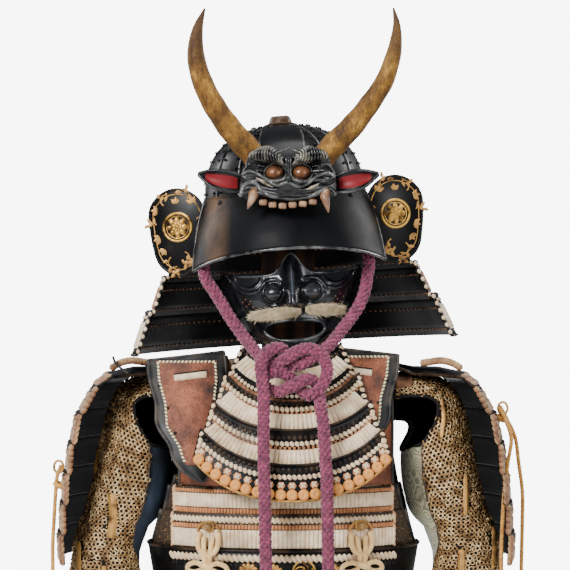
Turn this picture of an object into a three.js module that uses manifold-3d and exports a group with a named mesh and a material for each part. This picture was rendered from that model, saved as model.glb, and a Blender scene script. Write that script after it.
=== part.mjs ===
// Samurai armour on a wooden stand. Millimetres, +Z up, the armour faces -Y, the origin is under the stand.
import * as THREE from 'three';
import Module from 'manifold-3d';
import { mergeVertices } from 'three/addons/utils/BufferGeometryUtils.js';

const wasm = await Module();
wasm.setup();

// ---- driving dimensions ----
const GAP = 0.4; // between pieces that touch
const LEATHER = 2.5; // wall of a lacquered lame
const IRON = 2.2; // wall of the helmet bowl and the mask
const CLOTH = 2.5; // wall of a padded sleeve
const TORSO_X = -4; // middle of the cuirass
const HEAD_X = 1; // middle of the helmet
const MASK_X = 3; // middle of the mask before the head is tilted
const HEAD_TILT = THREE.MathUtils.degToRad(-3.6);
const HEAD_PIVOT = new THREE.Vector3(0, 0, 1060);
const CREST_X = 3;
const STAND = { baseX: 400, baseY: 470, baseZ: 30, postSide: 44, beamLow: 806, beamTop: 878, beamDrop: 40,
  beamReach: 206, beamEnd: 146, beamDepth: 40, headWidth: 75, headDepth: 24, headTop: 1146 };

const part = new THREE.Group();
const head = new THREE.Group();
head.position.copy(HEAD_PIVOT);
head.rotation.y = HEAD_TILT;
const headFrame = new THREE.Group();
headFrame.position.copy(HEAD_PIVOT).negate();
head.add(headFrame);
part.add(head);

// ---- materials ----
const looks = {
  lacquer: [0x14181c, 0.35, 0.1], gilt: [0xc49a50, 0.4, 0.8], horn: [0x96692f, 0.5, 0],
  red: [0xaa323a, 0.5, 0], fur: [0xcdb98c, 0.9, 0], lacing: [0xe2d2be, 0.85, 0], leaf: [0xa05f3c, 0.7, 0],
  mail: [0x8f6d42, 0.5, 0.6], cord: [0x96506e, 0.8, 0], yellow: [0xd79b3c, 0.8, 0], wood: [0x6e4622, 0.6, 0],
  brown: [0x6b4a2a, 0.4, 0.5],
};

function add(name, geometry, look, parent = part) {
  const [color, roughness, metalness] = looks[look];
  const mesh = new THREE.Mesh(geometry, new THREE.MeshStandardMaterial({ color, roughness, metalness }));
  mesh.name = name;
  parent.add(mesh);
  return mesh;
}

// ---- shared ways of making a shape ----
const vec = (x, y, z) => new THREE.Vector3(x, y, z);
const mix = (a, b, t) => a + (b - a) * t;
const rad = THREE.MathUtils.degToRad;
const bump = (value, centre, spread) => Math.exp(-(((value - centre) / spread) ** 2));
const steps = (count, make) => Array.from({ length: count + 1 }, (_, i) => make(i / count, i));

// Reads a value between the rows of a table whose rows have the key `at`, in rising order.
function between(table, at, column) {
  const last = table.length - 1;
  if (at <= table[0].at) return table[0][column];
  if (at >= table[last].at) return table[last][column];
  const i = table.findIndex((row) => row.at > at);
  const [low, high] = [table[i - 1], table[i]];
  const t = (at - low.at) / (high.at - low.at);
  return mix(low[column], high[column], t);
}

function meshOf(points, faces) {
  const geometry = new THREE.BufferGeometry();
  geometry.setAttribute('position', new THREE.Float32BufferAttribute(points.flatMap((p) => p.toArray()), 3));
  geometry.setIndex(faces.flat());
  return geometry;
}

// A wall of even thickness on a grid: rows go up the piece, points in a row go round it anticlockwise.
// The wall grows inward from the grid. `open(row, column)` leaves out a cell.
function wall(rows, thickness, { closed = false, open = () => false } = {}) {
  const across = rows[0].length;
  const cells = closed ? across : across - 1;
  const at = (i, j) => i * across + (j % across);
  const outer = rows.flat();
  const quads = [];
  for (let i = 0; i + 1 < rows.length; i++) {
    for (let j = 0; j < cells; j++) {
      if (!open(i, j)) quads.push([at(i, j), at(i, j + 1), at(i + 1, j + 1), at(i + 1, j)]);
    }
  }
  const normals = outer.map(() => vec(0, 0, 0));
  for (const quad of quads) {
    const [a, b, c, d] = quad.map((k) => outer[k]);
    const normal = c.clone().sub(a).cross(d.clone().sub(b)).normalize();
    quad.forEach((k) => normals[k].add(normal));
  }
  const inner = outer.map((p, k) => p.clone().addScaledVector(normals[k].normalize(), -thickness));
  const shift = outer.length;
  const edges = new Set(quads.flatMap((q) => q.map((k, n) => `${k},${q[(n + 1) % 4]}`)));
  const faces = [];
  for (const [a, b, c, d] of quads) {
    faces.push([a, b, c], [a, c, d], [c + shift, b + shift, a + shift], [d + shift, c + shift, a + shift]);
    for (const [u, v] of [[a, b], [b, c], [c, d], [d, a]]) {
      if (!edges.has(`${v},${u}`)) faces.push([v, u, u + shift], [v, u + shift, v + shift]);
    }
  }
  return tidy(meshOf([...outer, ...inner], faces));
}

// Drops the points that no face uses.
function tidy(geometry) {
  const flat = geometry.index ? geometry.toNonIndexed() : geometry.clone();
  flat.deleteAttribute('normal');
  flat.deleteAttribute('uv');
  return mergeVertices(flat, 1e-4);
}

// A solid through closed rings, with a flat cap at each end.
function loft(rings) {
  const across = rings[0].length;
  const points = rings.flat();
  const faces = [];
  for (let i = 0; i + 1 < rings.length; i++) {
    for (let j = 0; j < across; j++) {
      const [a, b] = [i * across + j, i * across + ((j + 1) % across)];
      faces.push([a, b, b + across], [a, b + across, a + across]);
    }
  }
  const middle = (ring) => ring.reduce((sum, p) => sum.add(p), vec(0, 0, 0)).divideScalar(ring.length);
  const low = points.push(middle(rings[0])) - 1;
  const high = points.push(middle(rings.at(-1))) - 1;
  const top = (rings.length - 1) * across;
  for (let j = 0; j < across; j++) {
    const next = (j + 1) % across;
    faces.push([low, next, j], [high, top + j, top + next]);
  }
  return facingOut(meshOf(points, faces));
}

function volumeOf(geometry) {
  const position = geometry.attributes.position;
  const [a, b, c] = [vec(0, 0, 0), vec(0, 0, 0), vec(0, 0, 0)];
  let sum = 0;
  for (let i = 0; i < geometry.index.count; i += 3) {
    [a, b, c].forEach((p, k) => p.fromBufferAttribute(position, geometry.index.getX(i + k)));
    sum += a.dot(b.cross(c));
  }
  return sum / 6;
}

function facingOut(geometry) {
  if (volumeOf(geometry) > 0) return geometry;
  const index = Array.from(geometry.index.array);
  for (let i = 0; i < index.length; i += 3) [index[i], index[i + 1]] = [index[i + 1], index[i]];
  geometry.setIndex(index);
  return geometry;
}

// The same piece for the other side, mirrored across the plane x = middle.
function mirrored(geometry, middle = 0) {
  const copy = geometry.clone().translate(-middle, 0, 0).scale(-1, 1, 1).translate(middle, 0, 0);
  return facingOut(copy.index ? copy : tidy(copy));
}

function solidOf(geometry) {
  const bare = facingOut(tidy(geometry));
  const solid = { numProp: 3, vertProperties: bare.attributes.position.array, triVerts: bare.index.array };
  return new wasm.Manifold(new wasm.Mesh(solid));
}

function fromSolid(solid) {
  const { vertProperties, triVerts } = solid.getMesh();
  const result = new THREE.BufferGeometry();
  result.setAttribute('position', new THREE.Float32BufferAttribute(vertProperties, 3));
  result.setIndex(Array.from(triVerts));
  return result;
}

function cut(geometry, ...cutters) {
  return fromSolid(cutters.reduce((solid, cutter) => solid.subtract(solidOf(cutter)), solidOf(geometry)));
}

function join(geometry, other) {
  return fromSolid(solidOf(geometry).add(solidOf(other)));
}

// A point on an ellipse: `turn` is in degrees from the front, rising towards +X.
function onEllipse(x, halfWidth, halfDepth, turn, z, y = 0) {
  return vec(x + halfWidth * Math.sin(rad(turn)), y - halfDepth * Math.cos(rad(turn)), z);
}

function arc(from, to, count, make) {
  return steps(count, (t) => make(mix(from, to, t)));
}

// A cord: eight sides, swept along a smooth curve through hand-chosen points.
function cordTube(route, diameter, count) {
  const curve = new THREE.CatmullRomCurve3(route.map((p) => vec(...p)), false, 'centripetal');
  const section = new THREE.Shape(arc(0, 315, 7, (turn) => new THREE.Vector2(
    (diameter / 2) * Math.cos(rad(turn)), (diameter / 2) * Math.sin(rad(turn)))));
  return new THREE.ExtrudeGeometry(section, { steps: count, extrudePath: curve });
}

// ---- helmet ----
const BOWL = { plates: 16, ridge: 1.6, backShift: 5 };
// Heights of the bowl from its rim, with its half-width and half-depth.
const bowlRows = [
  { at: 1100, width: 112, depth: 130 }, { at: 1125, width: 110, depth: 127 }, { at: 1150, width: 102, depth: 117 },
  { at: 1170, width: 88, depth: 101 }, { at: 1185, width: 68, depth: 78 }, { at: 1195, width: 44, depth: 50 },
  { at: 1200, width: 18, depth: 20 },
];

function bowlRing(row, extra = 0) {
  const count = BOWL.plates * 2;
  return arc(0, 360 - 360 / count, count - 1, (turn) => {
    const ridge = Math.round(turn / (360 / count)) % 2 ? 0 : BOWL.ridge;
    const shift = turn + 180 / BOWL.plates;
    return onEllipse(HEAD_X, row.width + ridge + extra, row.depth + ridge + extra, shift, row.at, BOWL.backShift);
  });
}

function helmetBowl() {
  return wall(bowlRows.map((row) => bowlRing(row)), IRON, { closed: true });
}

// The filled bowl, a little large, which cuts what is mounted on it.
function bowlFill() {
  const rings = bowlRows.map((row) => bowlRing(row, GAP)).concat([bowlRing({ at: 1201, width: 6, depth: 6 })]);
  return loft([bowlRing({ at: 1090, width: 112, depth: 130 }, GAP), ...rings]);
}

// The stub on the bowl's top: radius and height round its section.
const TOP_FITTING = { sides: 16, section: [[10, 1202.2], [22, 1201.2], [22.4, 1202.6], [17.5, 1203.8], [16.2, 1204.6],
  [13.2, 1212.6], [12, 1213.6], [10.4, 1213]] };

function topFitting() {
  const { sides, section } = TOP_FITTING;
  const profile = [...section, section[0]].map(([radius, z]) => new THREE.Vector2(radius, z));
  return new THREE.LatheGeometry(profile, sides).rotateX(Math.PI / 2).translate(HEAD_X, BOWL.backShift, 0);
}

const VISOR = { reach: 72, columns: 20, topZ: 1103, lowZ: 1025, sideDrop: 33 };
const visorRows = [
  { at: 0, width: 141, depth: 180 }, { at: 0.35, width: 136, depth: 172 }, { at: 0.7, width: 128, depth: 157 },
  { at: 1, width: 117, depth: 135.5 },
];

function visorPoint(turn, t) {
  const low = VISOR.lowZ - VISOR.sideDrop * (1 - Math.cos(rad(turn)));
  const width = between(visorRows, t, 'width');
  const depth = between(visorRows, t, 'depth');
  return onEllipse(HEAD_X, width, depth, turn, mix(low, VISOR.topZ, t), BOWL.backShift);
}

function visor() {
  const rows = visorRows.map(({ at }) => arc(-VISOR.reach, VISOR.reach, VISOR.columns, (turn) => visorPoint(turn, at)));
  return wall(rows, IRON);
}

// Neck guard: each lower lame stands outside the one above it. `front` is where a lame ends, in degrees.
const NECK_GUARD = { columns: 22 };
const neckLames = [
  { topZ: 1093, lowZ: 1038, topWidth: 121, lowWidth: 146, topDepth: 142, lowDepth: 160, front: 81 },
  { topZ: 1046, lowZ: 992, topWidth: 150.5, lowWidth: 174, topDepth: 164.5, lowDepth: 178, front: 84 },
  { topZ: 1000, lowZ: 945, topWidth: 178.5, lowWidth: 200, topDepth: 182.5, lowDepth: 194, front: 76 },
  { topZ: 953, lowZ: 892, topWidth: 204.5, lowWidth: 229, topDepth: 198.5, lowDepth: 212, front: 72 },
];

function neckLame({ topZ, lowZ, topWidth, lowWidth, topDepth, lowDepth, front }) {
  const row = (t) => arc(front, 360 - front, NECK_GUARD.columns, (turn) => onEllipse(
    HEAD_X, mix(lowWidth, topWidth, t), mix(lowDepth, topDepth, t), turn, mix(lowZ, topZ, t), BOWL.backShift));
  return wall([row(0), row(0.5), row(1)], LEATHER);
}

// A turned-back flap: an ear-shaped plate, slightly dished, set beside the visor.
const FLAP = { x: 153, z: 1066, y: -32, thick: 3, sweep: 0.35, dish: 7 };
const flapOutline = [
  { at: 0, radius: 38 }, { at: 45, radius: 48 }, { at: 90, radius: 53 }, { at: 120, radius: 50 },
  { at: 160, radius: 42 }, { at: 200, radius: 38 }, { at: 240, radius: 52 }, { at: 265, radius: 68 },
  { at: 290, radius: 62 }, { at: 325, radius: 43 }, { at: 360, radius: 38 },
];

function flapPoint(turn, share) {
  const radius = between(flapOutline, turn, 'radius') * share;
  const [across, up] = [radius * Math.cos(rad(turn)), radius * Math.sin(rad(turn))];
  return vec(FLAP.x + across, FLAP.y + across * FLAP.sweep + FLAP.dish * share * share, FLAP.z + up);
}

function flap() {
  const ring = (share) => arc(0, 345, 23, (turn) => flapPoint(turn, share));
  const front = [0.12, 0.55, 1].map(ring);
  const back = [1, 0.55, 0.12].map((share) => ring(share).map((p) => p.add(vec(0, FLAP.thick, 0))));
  return loft([...front, ...back]);
}

add('helmet_bowl', helmetBowl(), 'lacquer', headFrame);
add('top_fitting', facingOut(tidy(topFitting())), 'brown', headFrame);
add('visor', visor(), 'lacquer', headFrame);
neckLames.forEach((lame, i) => add(`neck_guard_${i + 1}`, neckLame(lame), 'lacquer', headFrame));
add('flap_right', flap(), 'lacquer', headFrame);
add('flap_left', mirrored(flap(), HEAD_X), 'lacquer', headFrame);

// ---- crest: a demon face with two horns and two ears, on a bracket ----
const CREST = { back: -150, columns: 20, rows: 12, lowZ: 1090, topZ: 1170 };
// Half-width of the face at each height.
const crestOutline = [
  { at: 1090, half: 44 }, { at: 1097, half: 60 }, { at: 1106, half: 66 }, { at: 1125, half: 65 },
  { at: 1138, half: 60 }, { at: 1152, half: 56 }, { at: 1163, half: 50 }, { at: 1170, half: 30 },
];

// How far the face stands out at a place, from its middle line and its height.
function crestRelief(x, z) {
  const away = Math.abs(x);
  const browLine = 1148 + away * 0.14;
  const snout = 26 * bump(away, 0, 46) * bump(z, 1112, 15);
  const brow = 17 * bump(z, browLine, 8) * bump(away, 34, 26);
  const eyes = 13 * bump(away, 19, 11) * bump(z, 1132, 9);
  const bridge = 12 * bump(away, 0, 5) * bump(z, 1140, 16);
  const lip = 9 * bump(z, 1100 + away * 0.05, 6) * bump(away, 30, 30);
  const nostril = 7 * bump(away, 30, 12) * bump(z, 1115, 7);
  return 12 + snout + brow + eyes + bridge + lip + nostril;
}

function crestFace() {
  const grid = (depthOf) => steps(CREST.rows, (t) => {
    const z = mix(CREST.lowZ, CREST.topZ, t);
    const half = between(crestOutline, z, 'half');
    return arc(-1, 1, CREST.columns, (share) => {
      const x = half * share;
      const dip = browDip(x, z);
      return vec(CREST_X + x, depthOf(x, z, share, t), z - dip);
    });
  });
  const front = grid((x, z, share, t) => {
    const edge = Math.min(1, 5 * (1 - Math.abs(share)), 5 * t + 0.15, 5 * (1 - t) + 0.15);
    return CREST.back - 4 - crestRelief(x, z) * Math.sqrt(edge);
  });
  const back = grid(() => CREST.back);
  return closedPair(front, back);
}

// The top edge of the face dips between the brows.
const browDip = (x, z) => 14 * bump(x, 0, 17) * Math.max(0, (z - 1140) / 30);

// A solid between two grids of the same size that face the same way.
function closedPair(front, back) {
  const across = front[0].length;
  const shift = front.length * across;
  const at = (i, j) => i * across + j;
  const faces = [];
  for (let i = 0; i + 1 < front.length; i++) {
    for (let j = 0; j + 1 < across; j++) {
      const [a, b, c, d] = [at(i, j), at(i, j + 1), at(i + 1, j + 1), at(i + 1, j)];
      faces.push([a, b, c], [a, c, d], [c + shift, b + shift, a + shift], [d + shift, c + shift, a + shift]);
    }
  }
  const rim = [
    ...front[0].map((_, j) => at(0, j)),
    ...front.slice(1).map((_, i) => at(i + 1, across - 1)),
    ...front[0].slice(1).map((_, j) => at(front.length - 1, across - 2 - j)),
    ...front.slice(1, -1).map((_, i) => at(front.length - 2 - i, 0)),
  ];
  rim.forEach((u, i) => {
    const v = rim[(i + 1) % rim.length];
    faces.push([v, u, u + shift], [v, u + shift, v + shift]);
  });
  return facingOut(tidy(meshOf([...front.flat(), ...back.flat()], faces)));
}

// Horns: each row is a section of the centre line, from the root up.
const HORN = { sides: 10, stretch: 1.03 };
const leftHorn = [
  { x: -32.8, y: -148, z: 1132.3, radius: 15.5 },
  { x: -48.2, y: -150, z: 1155.5, radius: 16.6 },
  { x: -72.4, y: -155, z: 1182.5, radius: 16.4 },
  { x: -92.6, y: -160, z: 1210.5, radius: 15.5 },
  { x: -107.1, y: -164, z: 1236.5, radius: 14.6 },
  { x: -116.8, y: -166, z: 1262.6, radius: 13.4 },
  { x: -121.2, y: -167, z: 1289.6, radius: 11.4 },
  { x: -118.2, y: -166, z: 1319.5, radius: 7.4 },
  { x: -109.0, y: -164, z: 1346.6, radius: 1.2 },
];
const rightHorn = [
  { x: 43.4, y: -148, z: 1136.2, radius: 15.5 },
  { x: 59.3, y: -150, z: 1159.3, radius: 16.6 },
  { x: 88.8, y: -155, z: 1189.3, radius: 16 },
  { x: 112.9, y: -160, z: 1220.1, radius: 14.6 },
  { x: 131.2, y: -164, z: 1248.1, radius: 13.4 },
  { x: 140.9, y: -166, z: 1274.2, radius: 12.2 },
  { x: 146.2, y: -167, z: 1296.4, radius: 10.2 },
  { x: 148.1, y: -166, z: 1323.4, radius: 6.2 },
  { x: 143.8, y: -164, z: 1347.5, radius: 1.2 },
];

function horn(sections, extra = 0) {
  const centres = sections.map(({ x, y, z }) => vec(x, y, z));
  const rings = sections.map(({ radius }, i) => {
    const along = centres[Math.min(i + 1, centres.length - 1)].clone().sub(centres[Math.max(i - 1, 0)]).normalize();
    const forward = vec(0, -1, 0).addScaledVector(along, along.y).normalize();
    const across = forward.clone().cross(along);
    return arc(0, 360 - 360 / HORN.sides, HORN.sides - 1, (turn) => centres[i].clone()
      .addScaledVector(forward, (radius + extra) * Math.cos(rad(turn)))
      .addScaledVector(across, (radius + extra) * HORN.stretch * Math.sin(rad(turn))));
  });
  return loft(rings);
}

// An ear: a leaf that cups forward, in sections from the face to the tip.
const earSections = [
  { x: 66, z: 1117, half: 8, y: -152 },
  { x: 78, z: 1119, half: 12.5, y: -155 },
  { x: 92, z: 1121, half: 13.5, y: -157 },
  { x: 106, z: 1124, half: 10.5, y: -155 },
  { x: 118, z: 1128, half: 5, y: -151 },
  { x: 125, z: 1131, half: 1, y: -148 },
];

function ear() {
  const rows = arc(-1, 1, 6, (share) => earSections.map(({ x, z, half, y }) => vec(
    CREST_X + x, y + 6 * (1 - share * share) * Math.min(1, half / 10), z + half * share)));
  return wall(rows, 3);
}

// The bracket: an ogee-topped plate that reaches from the bowl to the back of the crest.
const BRACKET = { half: 20, lowZ: 1106, shoulderZ: 1142, topZ: 1153, from: -112 };

function bracket() {
  const outline = new THREE.Shape([
    new THREE.Vector2(-BRACKET.half, BRACKET.lowZ), new THREE.Vector2(BRACKET.half, BRACKET.lowZ),
    new THREE.Vector2(BRACKET.half, BRACKET.shoulderZ), new THREE.Vector2(0, BRACKET.topZ),
    new THREE.Vector2(-BRACKET.half, BRACKET.shoulderZ),
  ]);
  const depth = -CREST.back + BRACKET.from - GAP;
  return new THREE.ExtrudeGeometry(outline, { depth, bevelEnabled: false })
    .rotateX(Math.PI / 2).translate(CREST_X, BRACKET.from, 0);
}

const tilt = new THREE.Matrix4().makeTranslation(...HEAD_PIVOT.toArray())
  .multiply(new THREE.Matrix4().makeRotationY(HEAD_TILT))
  .multiply(new THREE.Matrix4().makeTranslation(...HEAD_PIVOT.clone().negate().toArray()));
const tiltedBowl = bowlFill().applyMatrix4(tilt);
// The filled visor, a little large, which cuts what is mounted on it.
const VISOR_FILL = { heights: [1.01, 0.7, 0.35, 0], grow: 0.008, steps: 23 };
const visorFill = loft(VISOR_FILL.heights.map((t) => arc(0, 360 - 360 / (VISOR_FILL.steps + 1), VISOR_FILL.steps,
  (turn) => {
    const point = visorPoint(turn > 180 ? turn - 360 : turn, t);
    return point.add(vec(HEAD_X - point.x, BOWL.backShift - point.y, 0).multiplyScalar(-VISOR_FILL.grow));
  }))).applyMatrix4(tilt);
// The crest, its mount and the ears sit a little lower and closer in than they are drawn.
const CREST_FIT = { scale: 0.965, from: 1130, to: 1124.6 };
const fitted = (geometry) => geometry.translate(-CREST_X, 0, -CREST_FIT.from)
  .scale(CREST_FIT.scale, 1, CREST_FIT.scale).translate(CREST_X, 0, CREST_FIT.to);
const sockets = [horn(leftHorn, GAP), horn(rightHorn, GAP)];

add('crest_face', cut(fitted(crestFace()), ...sockets, visorFill), 'lacquer');
add('crest_bracket', cut(fitted(bracket()), tiltedBowl, visorFill, ...sockets), 'lacquer');
add('horn_left', cut(horn(leftHorn), tiltedBowl), 'horn');
add('horn_right', cut(horn(rightHorn), tiltedBowl), 'horn');
add('ear_right', fitted(ear()), 'red');
add('ear_left', mirrored(fitted(ear()), CREST_X), 'red');

// ---- mask ----
const MASK = { columns: 24, rows: 13, reach: 82, y: -24, furStand: 8, furHalf: 46 };
const maskRows = [
  { at: 884, width: 58, depth: 92 }, { at: 905, width: 74, depth: 101 }, { at: 935, width: 88, depth: 101 },
  { at: 970, width: 97, depth: 98 }, { at: 1020, width: 101, depth: 96 },
];
const MOUTH = { lowZ: 899, topZ: 929, half: 42 };

function maskRelief(x, z) {
  const away = Math.abs(x);
  const ridge = (z > 951 ? bump(z, 951, 46) : bump(z, 951, 11)) * bump(away, 0, z > 975 ? 9 : 13) * 40;
  const wings = 16 * bump(away, 17, 9) * bump(z, 951, 11);
  const cheek = 12 * bump(away, 52, 22) * bump(z, 962, 20);
  const lips = 6 * bump(z, 913, 22) * bump(away, 0, 48) + 5 * bump(z, 890, 9) * bump(away, 0, 30);
  return ridge + wings + cheek + lips;
}

function maskPoint(turn, z) {
  const point = onEllipse(MASK_X, between(maskRows, z, 'width'), between(maskRows, z, 'depth'), turn, z, MASK.y);
  const out = maskRelief(point.x - MASK_X, z);
  return point.add(vec(out * 0.35 * Math.sin(rad(turn)), -out * Math.cos(rad(turn)), 0));
}

const maskTop = (turn) => 990 + 29 * bump(turn, 0, 9) + 8 * bump(Math.abs(turn), 80, 25);
const maskLow = (turn) => 886 + 44 * Math.abs(Math.sin(rad(turn))) ** 3;

// The mask's surface as a grid of points, moved out by `extra`.
function maskGrid(extra = 0) {
  return steps(MASK.rows, (t) => arc(-MASK.reach, MASK.reach, MASK.columns, (turn) => maskPoint(
    turn, mix(maskLow(turn), maskTop(turn), t)).add(vec(Math.sin(rad(turn)), -Math.cos(rad(turn)), 0)
    .multiplyScalar(extra))));
}

function mask() {
  const grid = maskGrid();
  const open = (i, j) => {
    const corners = [grid[i][j], grid[i][j + 1], grid[i + 1][j + 1], grid[i + 1][j]];
    const x = corners.reduce((sum, p) => sum + p.x / 4, -MASK_X);
    const z = corners.reduce((sum, p) => sum + p.z / 4, 0);
    return Math.abs(x) < MOUTH.half && z > MOUTH.lowZ && z < MOUTH.topZ;
  };
  return wall(grid, IRON, { open });
}

// The fur's reach, made from the mask's own surface moved out.
function moustache() {
  const rows = [934, 941, 947].map((z, i) => arc(-MASK.furHalf, MASK.furHalf, 12, (turn) => {
    const droop = 7 * (Math.abs(turn) / MASK.furHalf) ** 2;
    const point = maskPoint(turn, z - droop);
    return point.add(vec(Math.sin(rad(turn)), -Math.cos(rad(turn)), 0).multiplyScalar(i === 1 ? 9 : 7));
  }));
  return wall(rows, 5);
}

add('mask', mask(), 'lacquer', headFrame);
add('moustache', cut(moustache(), wall(maskGrid(GAP), 8)), 'fur', headFrame);

// ---- throat guard: curved lames that hang from the mask, each lower one outside the one above ----
const THROAT = { x: 8, columns: 12, step: 4, overlap: 4 };
const throatEdges = [
  { midZ: 874, sideZ: 896, half: 68, midY: -114, sideY: -74 },
  { midZ: 813, sideZ: 852, half: 88, midY: -140, sideY: -98 },
  { midZ: 777, sideZ: 815, half: 104, midY: -152, sideY: -117 },
  { midZ: 731, sideZ: 778, half: 120, midY: -166, sideY: -137 },
  { midZ: 687, sideZ: 742, half: 134, midY: -176, sideY: -149 },
];

function throatRow({ midZ, sideZ, half, midY, sideY }, out = 0, up = 0) {
  return arc(-1, 1, THROAT.columns, (share) => {
    const rise = 0.6 * share ** 2 + 0.4 * share ** 4;
    const y = mix(midY, sideY, share ** 2);
    return vec(THROAT.x + (half + out * Math.abs(share)) * share, y - out, mix(midZ, sideZ, rise) + up);
  });
}

throatEdges.slice(1).forEach((low, i) => {
  const top = throatRow(throatEdges[i], i ? THROAT.step : 0, i ? THROAT.overlap : 0);
  add(`throat_guard_${i + 1}`, wall([throatRow(low), top], LEATHER), 'lacing');
});

// ---- cuirass ----
const CUIRASS = { columns: 14, ringColumns: 36, step: 4, overlap: 4 };
// Each row is an edge between two lames: its height, half-sizes and, above the armholes, its angular reach.
const frontEdges = [
  { z: 616, width: 186, depth: 132, reach: 79 }, { z: 662, width: 183, depth: 131, reach: 64 },
  { z: 697, width: 180, depth: 129, reach: 58 }, { z: 714, width: 178, depth: 127, reach: 56 },
];
const backEdges = [
  { z: 616, width: 186, depth: 132, reach: 79 }, { z: 690, width: 184, depth: 131, reach: 62 },
  { z: 765, width: 178, depth: 126, reach: 55 }, { z: 846, width: 168, depth: 108, reach: 52 },
];
const ringEdges = [
  { z: 346, width: 158, depth: 118 }, { z: 416, width: 154, depth: 112 }, { z: 486, width: 165, depth: 118 },
  { z: 556, width: 180, depth: 127 }, { z: 612, width: 186, depth: 132 },
];

function lame(low, top, { middle = 0, count = CUIRASS.columns, out = CUIRASS.step, over = CUIRASS.overlap } = {}) {
  const row = (edge, grow, up) => arc(middle - edge.reach, middle + edge.reach, count, (turn) => onEllipse(
    TORSO_X, edge.width + grow, edge.depth + grow, turn, edge.z + up));
  return wall([row(low, 0, 0), row(top, out, over)], LEATHER);
}

function ring(low, top, out = CUIRASS.step) {
  const count = CUIRASS.ringColumns;
  const row = (edge, grow, up) => arc(0, 360 - 360 / count, count - 1, (turn) => onEllipse(
    TORSO_X, edge.width + grow, edge.depth + grow, turn, edge.z + up));
  return wall([row(low, 0, 0), row(top, out, CUIRASS.overlap)], LEATHER, { closed: true });
}

add('front_lame_2', lame(frontEdges[0], frontEdges[1]), 'lacing');
add('front_lame_1', lame(frontEdges[1], frontEdges[2]), 'lacing');
add('chest_plate', lame(frontEdges[2], frontEdges[3], { out: 0, over: 0 }), 'gilt');
add('back_lame_2', lame(backEdges[0], backEdges[1], { middle: 180 }), 'lacing');
add('back_lame_1', lame(backEdges[1], backEdges[2], { middle: 180 }), 'lacing');
add('back_plate', lame(backEdges[2], backEdges[3], { middle: 180, out: 0, over: 0 }), 'lacquer');
ringEdges.slice(1).forEach((top, i) => add(`ring_${4 - i}`, ring(ringEdges[i], top), 'lacquer'));

// Tassets: five lames each, under a strip of lacing that hangs them from the lowest ring.
const TASSET = { topZ: 345, columns: 4, step: 3, sides: 17 };
const tassetEdges = [
  { z: 60, width: 212, depth: 166 }, { z: 108, width: 205, depth: 158 }, { z: 156, width: 196, depth: 149 },
  { z: 204, width: 186, depth: 140 }, { z: 252, width: 175, depth: 130 }, { z: 300, width: 164, depth: 120 },
];
const tassets = [
  { name: 'front', turn: 0 }, { name: 'front_right', turn: 50 }, { name: 'right', turn: 101 },
  { name: 'back_right', turn: 154 }, { name: 'back_left', turn: 206 }, { name: 'left', turn: 259 },
  { name: 'front_left', turn: 310 },
];

function tasset(turn) {
  const row = (edge, grow, up) => arc(turn - TASSET.sides - 6 * (300 - edge.z) / 240, turn + TASSET.sides
    + 6 * (300 - edge.z) / 240, TASSET.columns, (place) => onEllipse(
    TORSO_X, edge.width + grow, edge.depth + grow, place, edge.z + up));
  const rows = [];
  for (let i = 0; i + 1 < tassetEdges.length; i++) {
    rows.push(row(tassetEdges[i], 0, 0), row(tassetEdges[i + 1], TASSET.step, -2));
  }
  const hung = { z: TASSET.topZ, width: 156, depth: 116 };
  rows.push(row({ ...tassetEdges.at(-1), width: 160, depth: 117 }, 0, 0), row(hung, 0, 0));
  return wall(rows, LEATHER);
}

tassets.forEach(({ name, turn }) => add(`tasset_${name}`, tasset(turn), 'lacing'));

// ---- shoulder straps: over the shoulder beam, from the back plate to the chest plate ----
const STRAP = { inner: 84, outer: 146, thick: 3, columns: 4, chestDepth: 134, chestWidth: 186 };
const beamTop = (x) => STAND.beamTop - STAND.beamDrop * (Math.abs(x) / STAND.beamReach) ** 2;
// Front to back: the place of the strap's outer face, and how far it follows the slope of the beam.
const strapRows = [
  { y: -112, z: 703, slope: 0 }, { y: -108, z: 760, slope: 0.2 }, { y: -80, z: 812, slope: 0.6 },
  { y: -54, z: 854, slope: 0.9 }, { y: -22, z: 878 + GAP + STRAP.thick, slope: 1 },
  { y: 22, z: 878 + GAP + STRAP.thick, slope: 1 }, { y: 62, z: 876, slope: 0.9 }, { y: 96, z: 862, slope: 0.5 },
  { y: 116, z: 841, slope: 0 },
];

// `side` is 1 on the right and -1 on the left.
function strap(side) {
  const ends = [STRAP.inner * side, STRAP.outer * side].sort((a, b) => a - b);
  const rows = strapRows.map(({ y, z, slope }) => steps(STRAP.columns, (t) => {
    const x = mix(...ends, t);
    const back = y > 90 ? 10 * (t - 0.5) * side : 0;
    const chest = -(STRAP.chestDepth * Math.sqrt(1 - ((x - TORSO_X) / STRAP.chestWidth) ** 2));
    return vec(x, mix(y - back, chest, Math.max(0, Math.min(1, (840 - z) / 80))),
      z - slope * (STAND.beamTop - beamTop(x)));
  }));
  return wall(rows, STRAP.thick);
}

add('strap_right', strap(1), 'leaf');
add('strap_left', strap(-1), 'leaf');

// ---- leaf plates that hang over the straps, in rows from the point to the top ----
const LEAF = { thick: 4, columns: 5, topY: -63, lowY: -140 };
const leafRows = [
  { z: 711, from: -116, to: -110 }, { z: 722, from: -136, to: -104 }, { z: 740, from: -152, to: -100 },
  { z: 758, from: -158, to: -96 }, { z: 784, from: -175, to: -91 }, { z: 815, from: -178, to: -85 },
  { z: 845, from: -187, to: -82 }, { z: 872, from: -190, to: -84 }, { z: 884, from: -190, to: -86, lift: -12 },
];

function leafPlate() {
  const rows = leafRows.map(({ z, from, to, lift = 0 }) => steps(LEAF.columns, (t) => {
    const share = (z - 711) / 173;
    const y = mix(LEAF.lowY, LEAF.topY, share ** 1.3) - 8 * Math.sin(Math.PI * t);
    return vec(mix(from, to, t), y + 6 * t * (1 - share), z + lift * (1 - t));
  }));
  return wall(rows, LEAF.thick);
}

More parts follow.
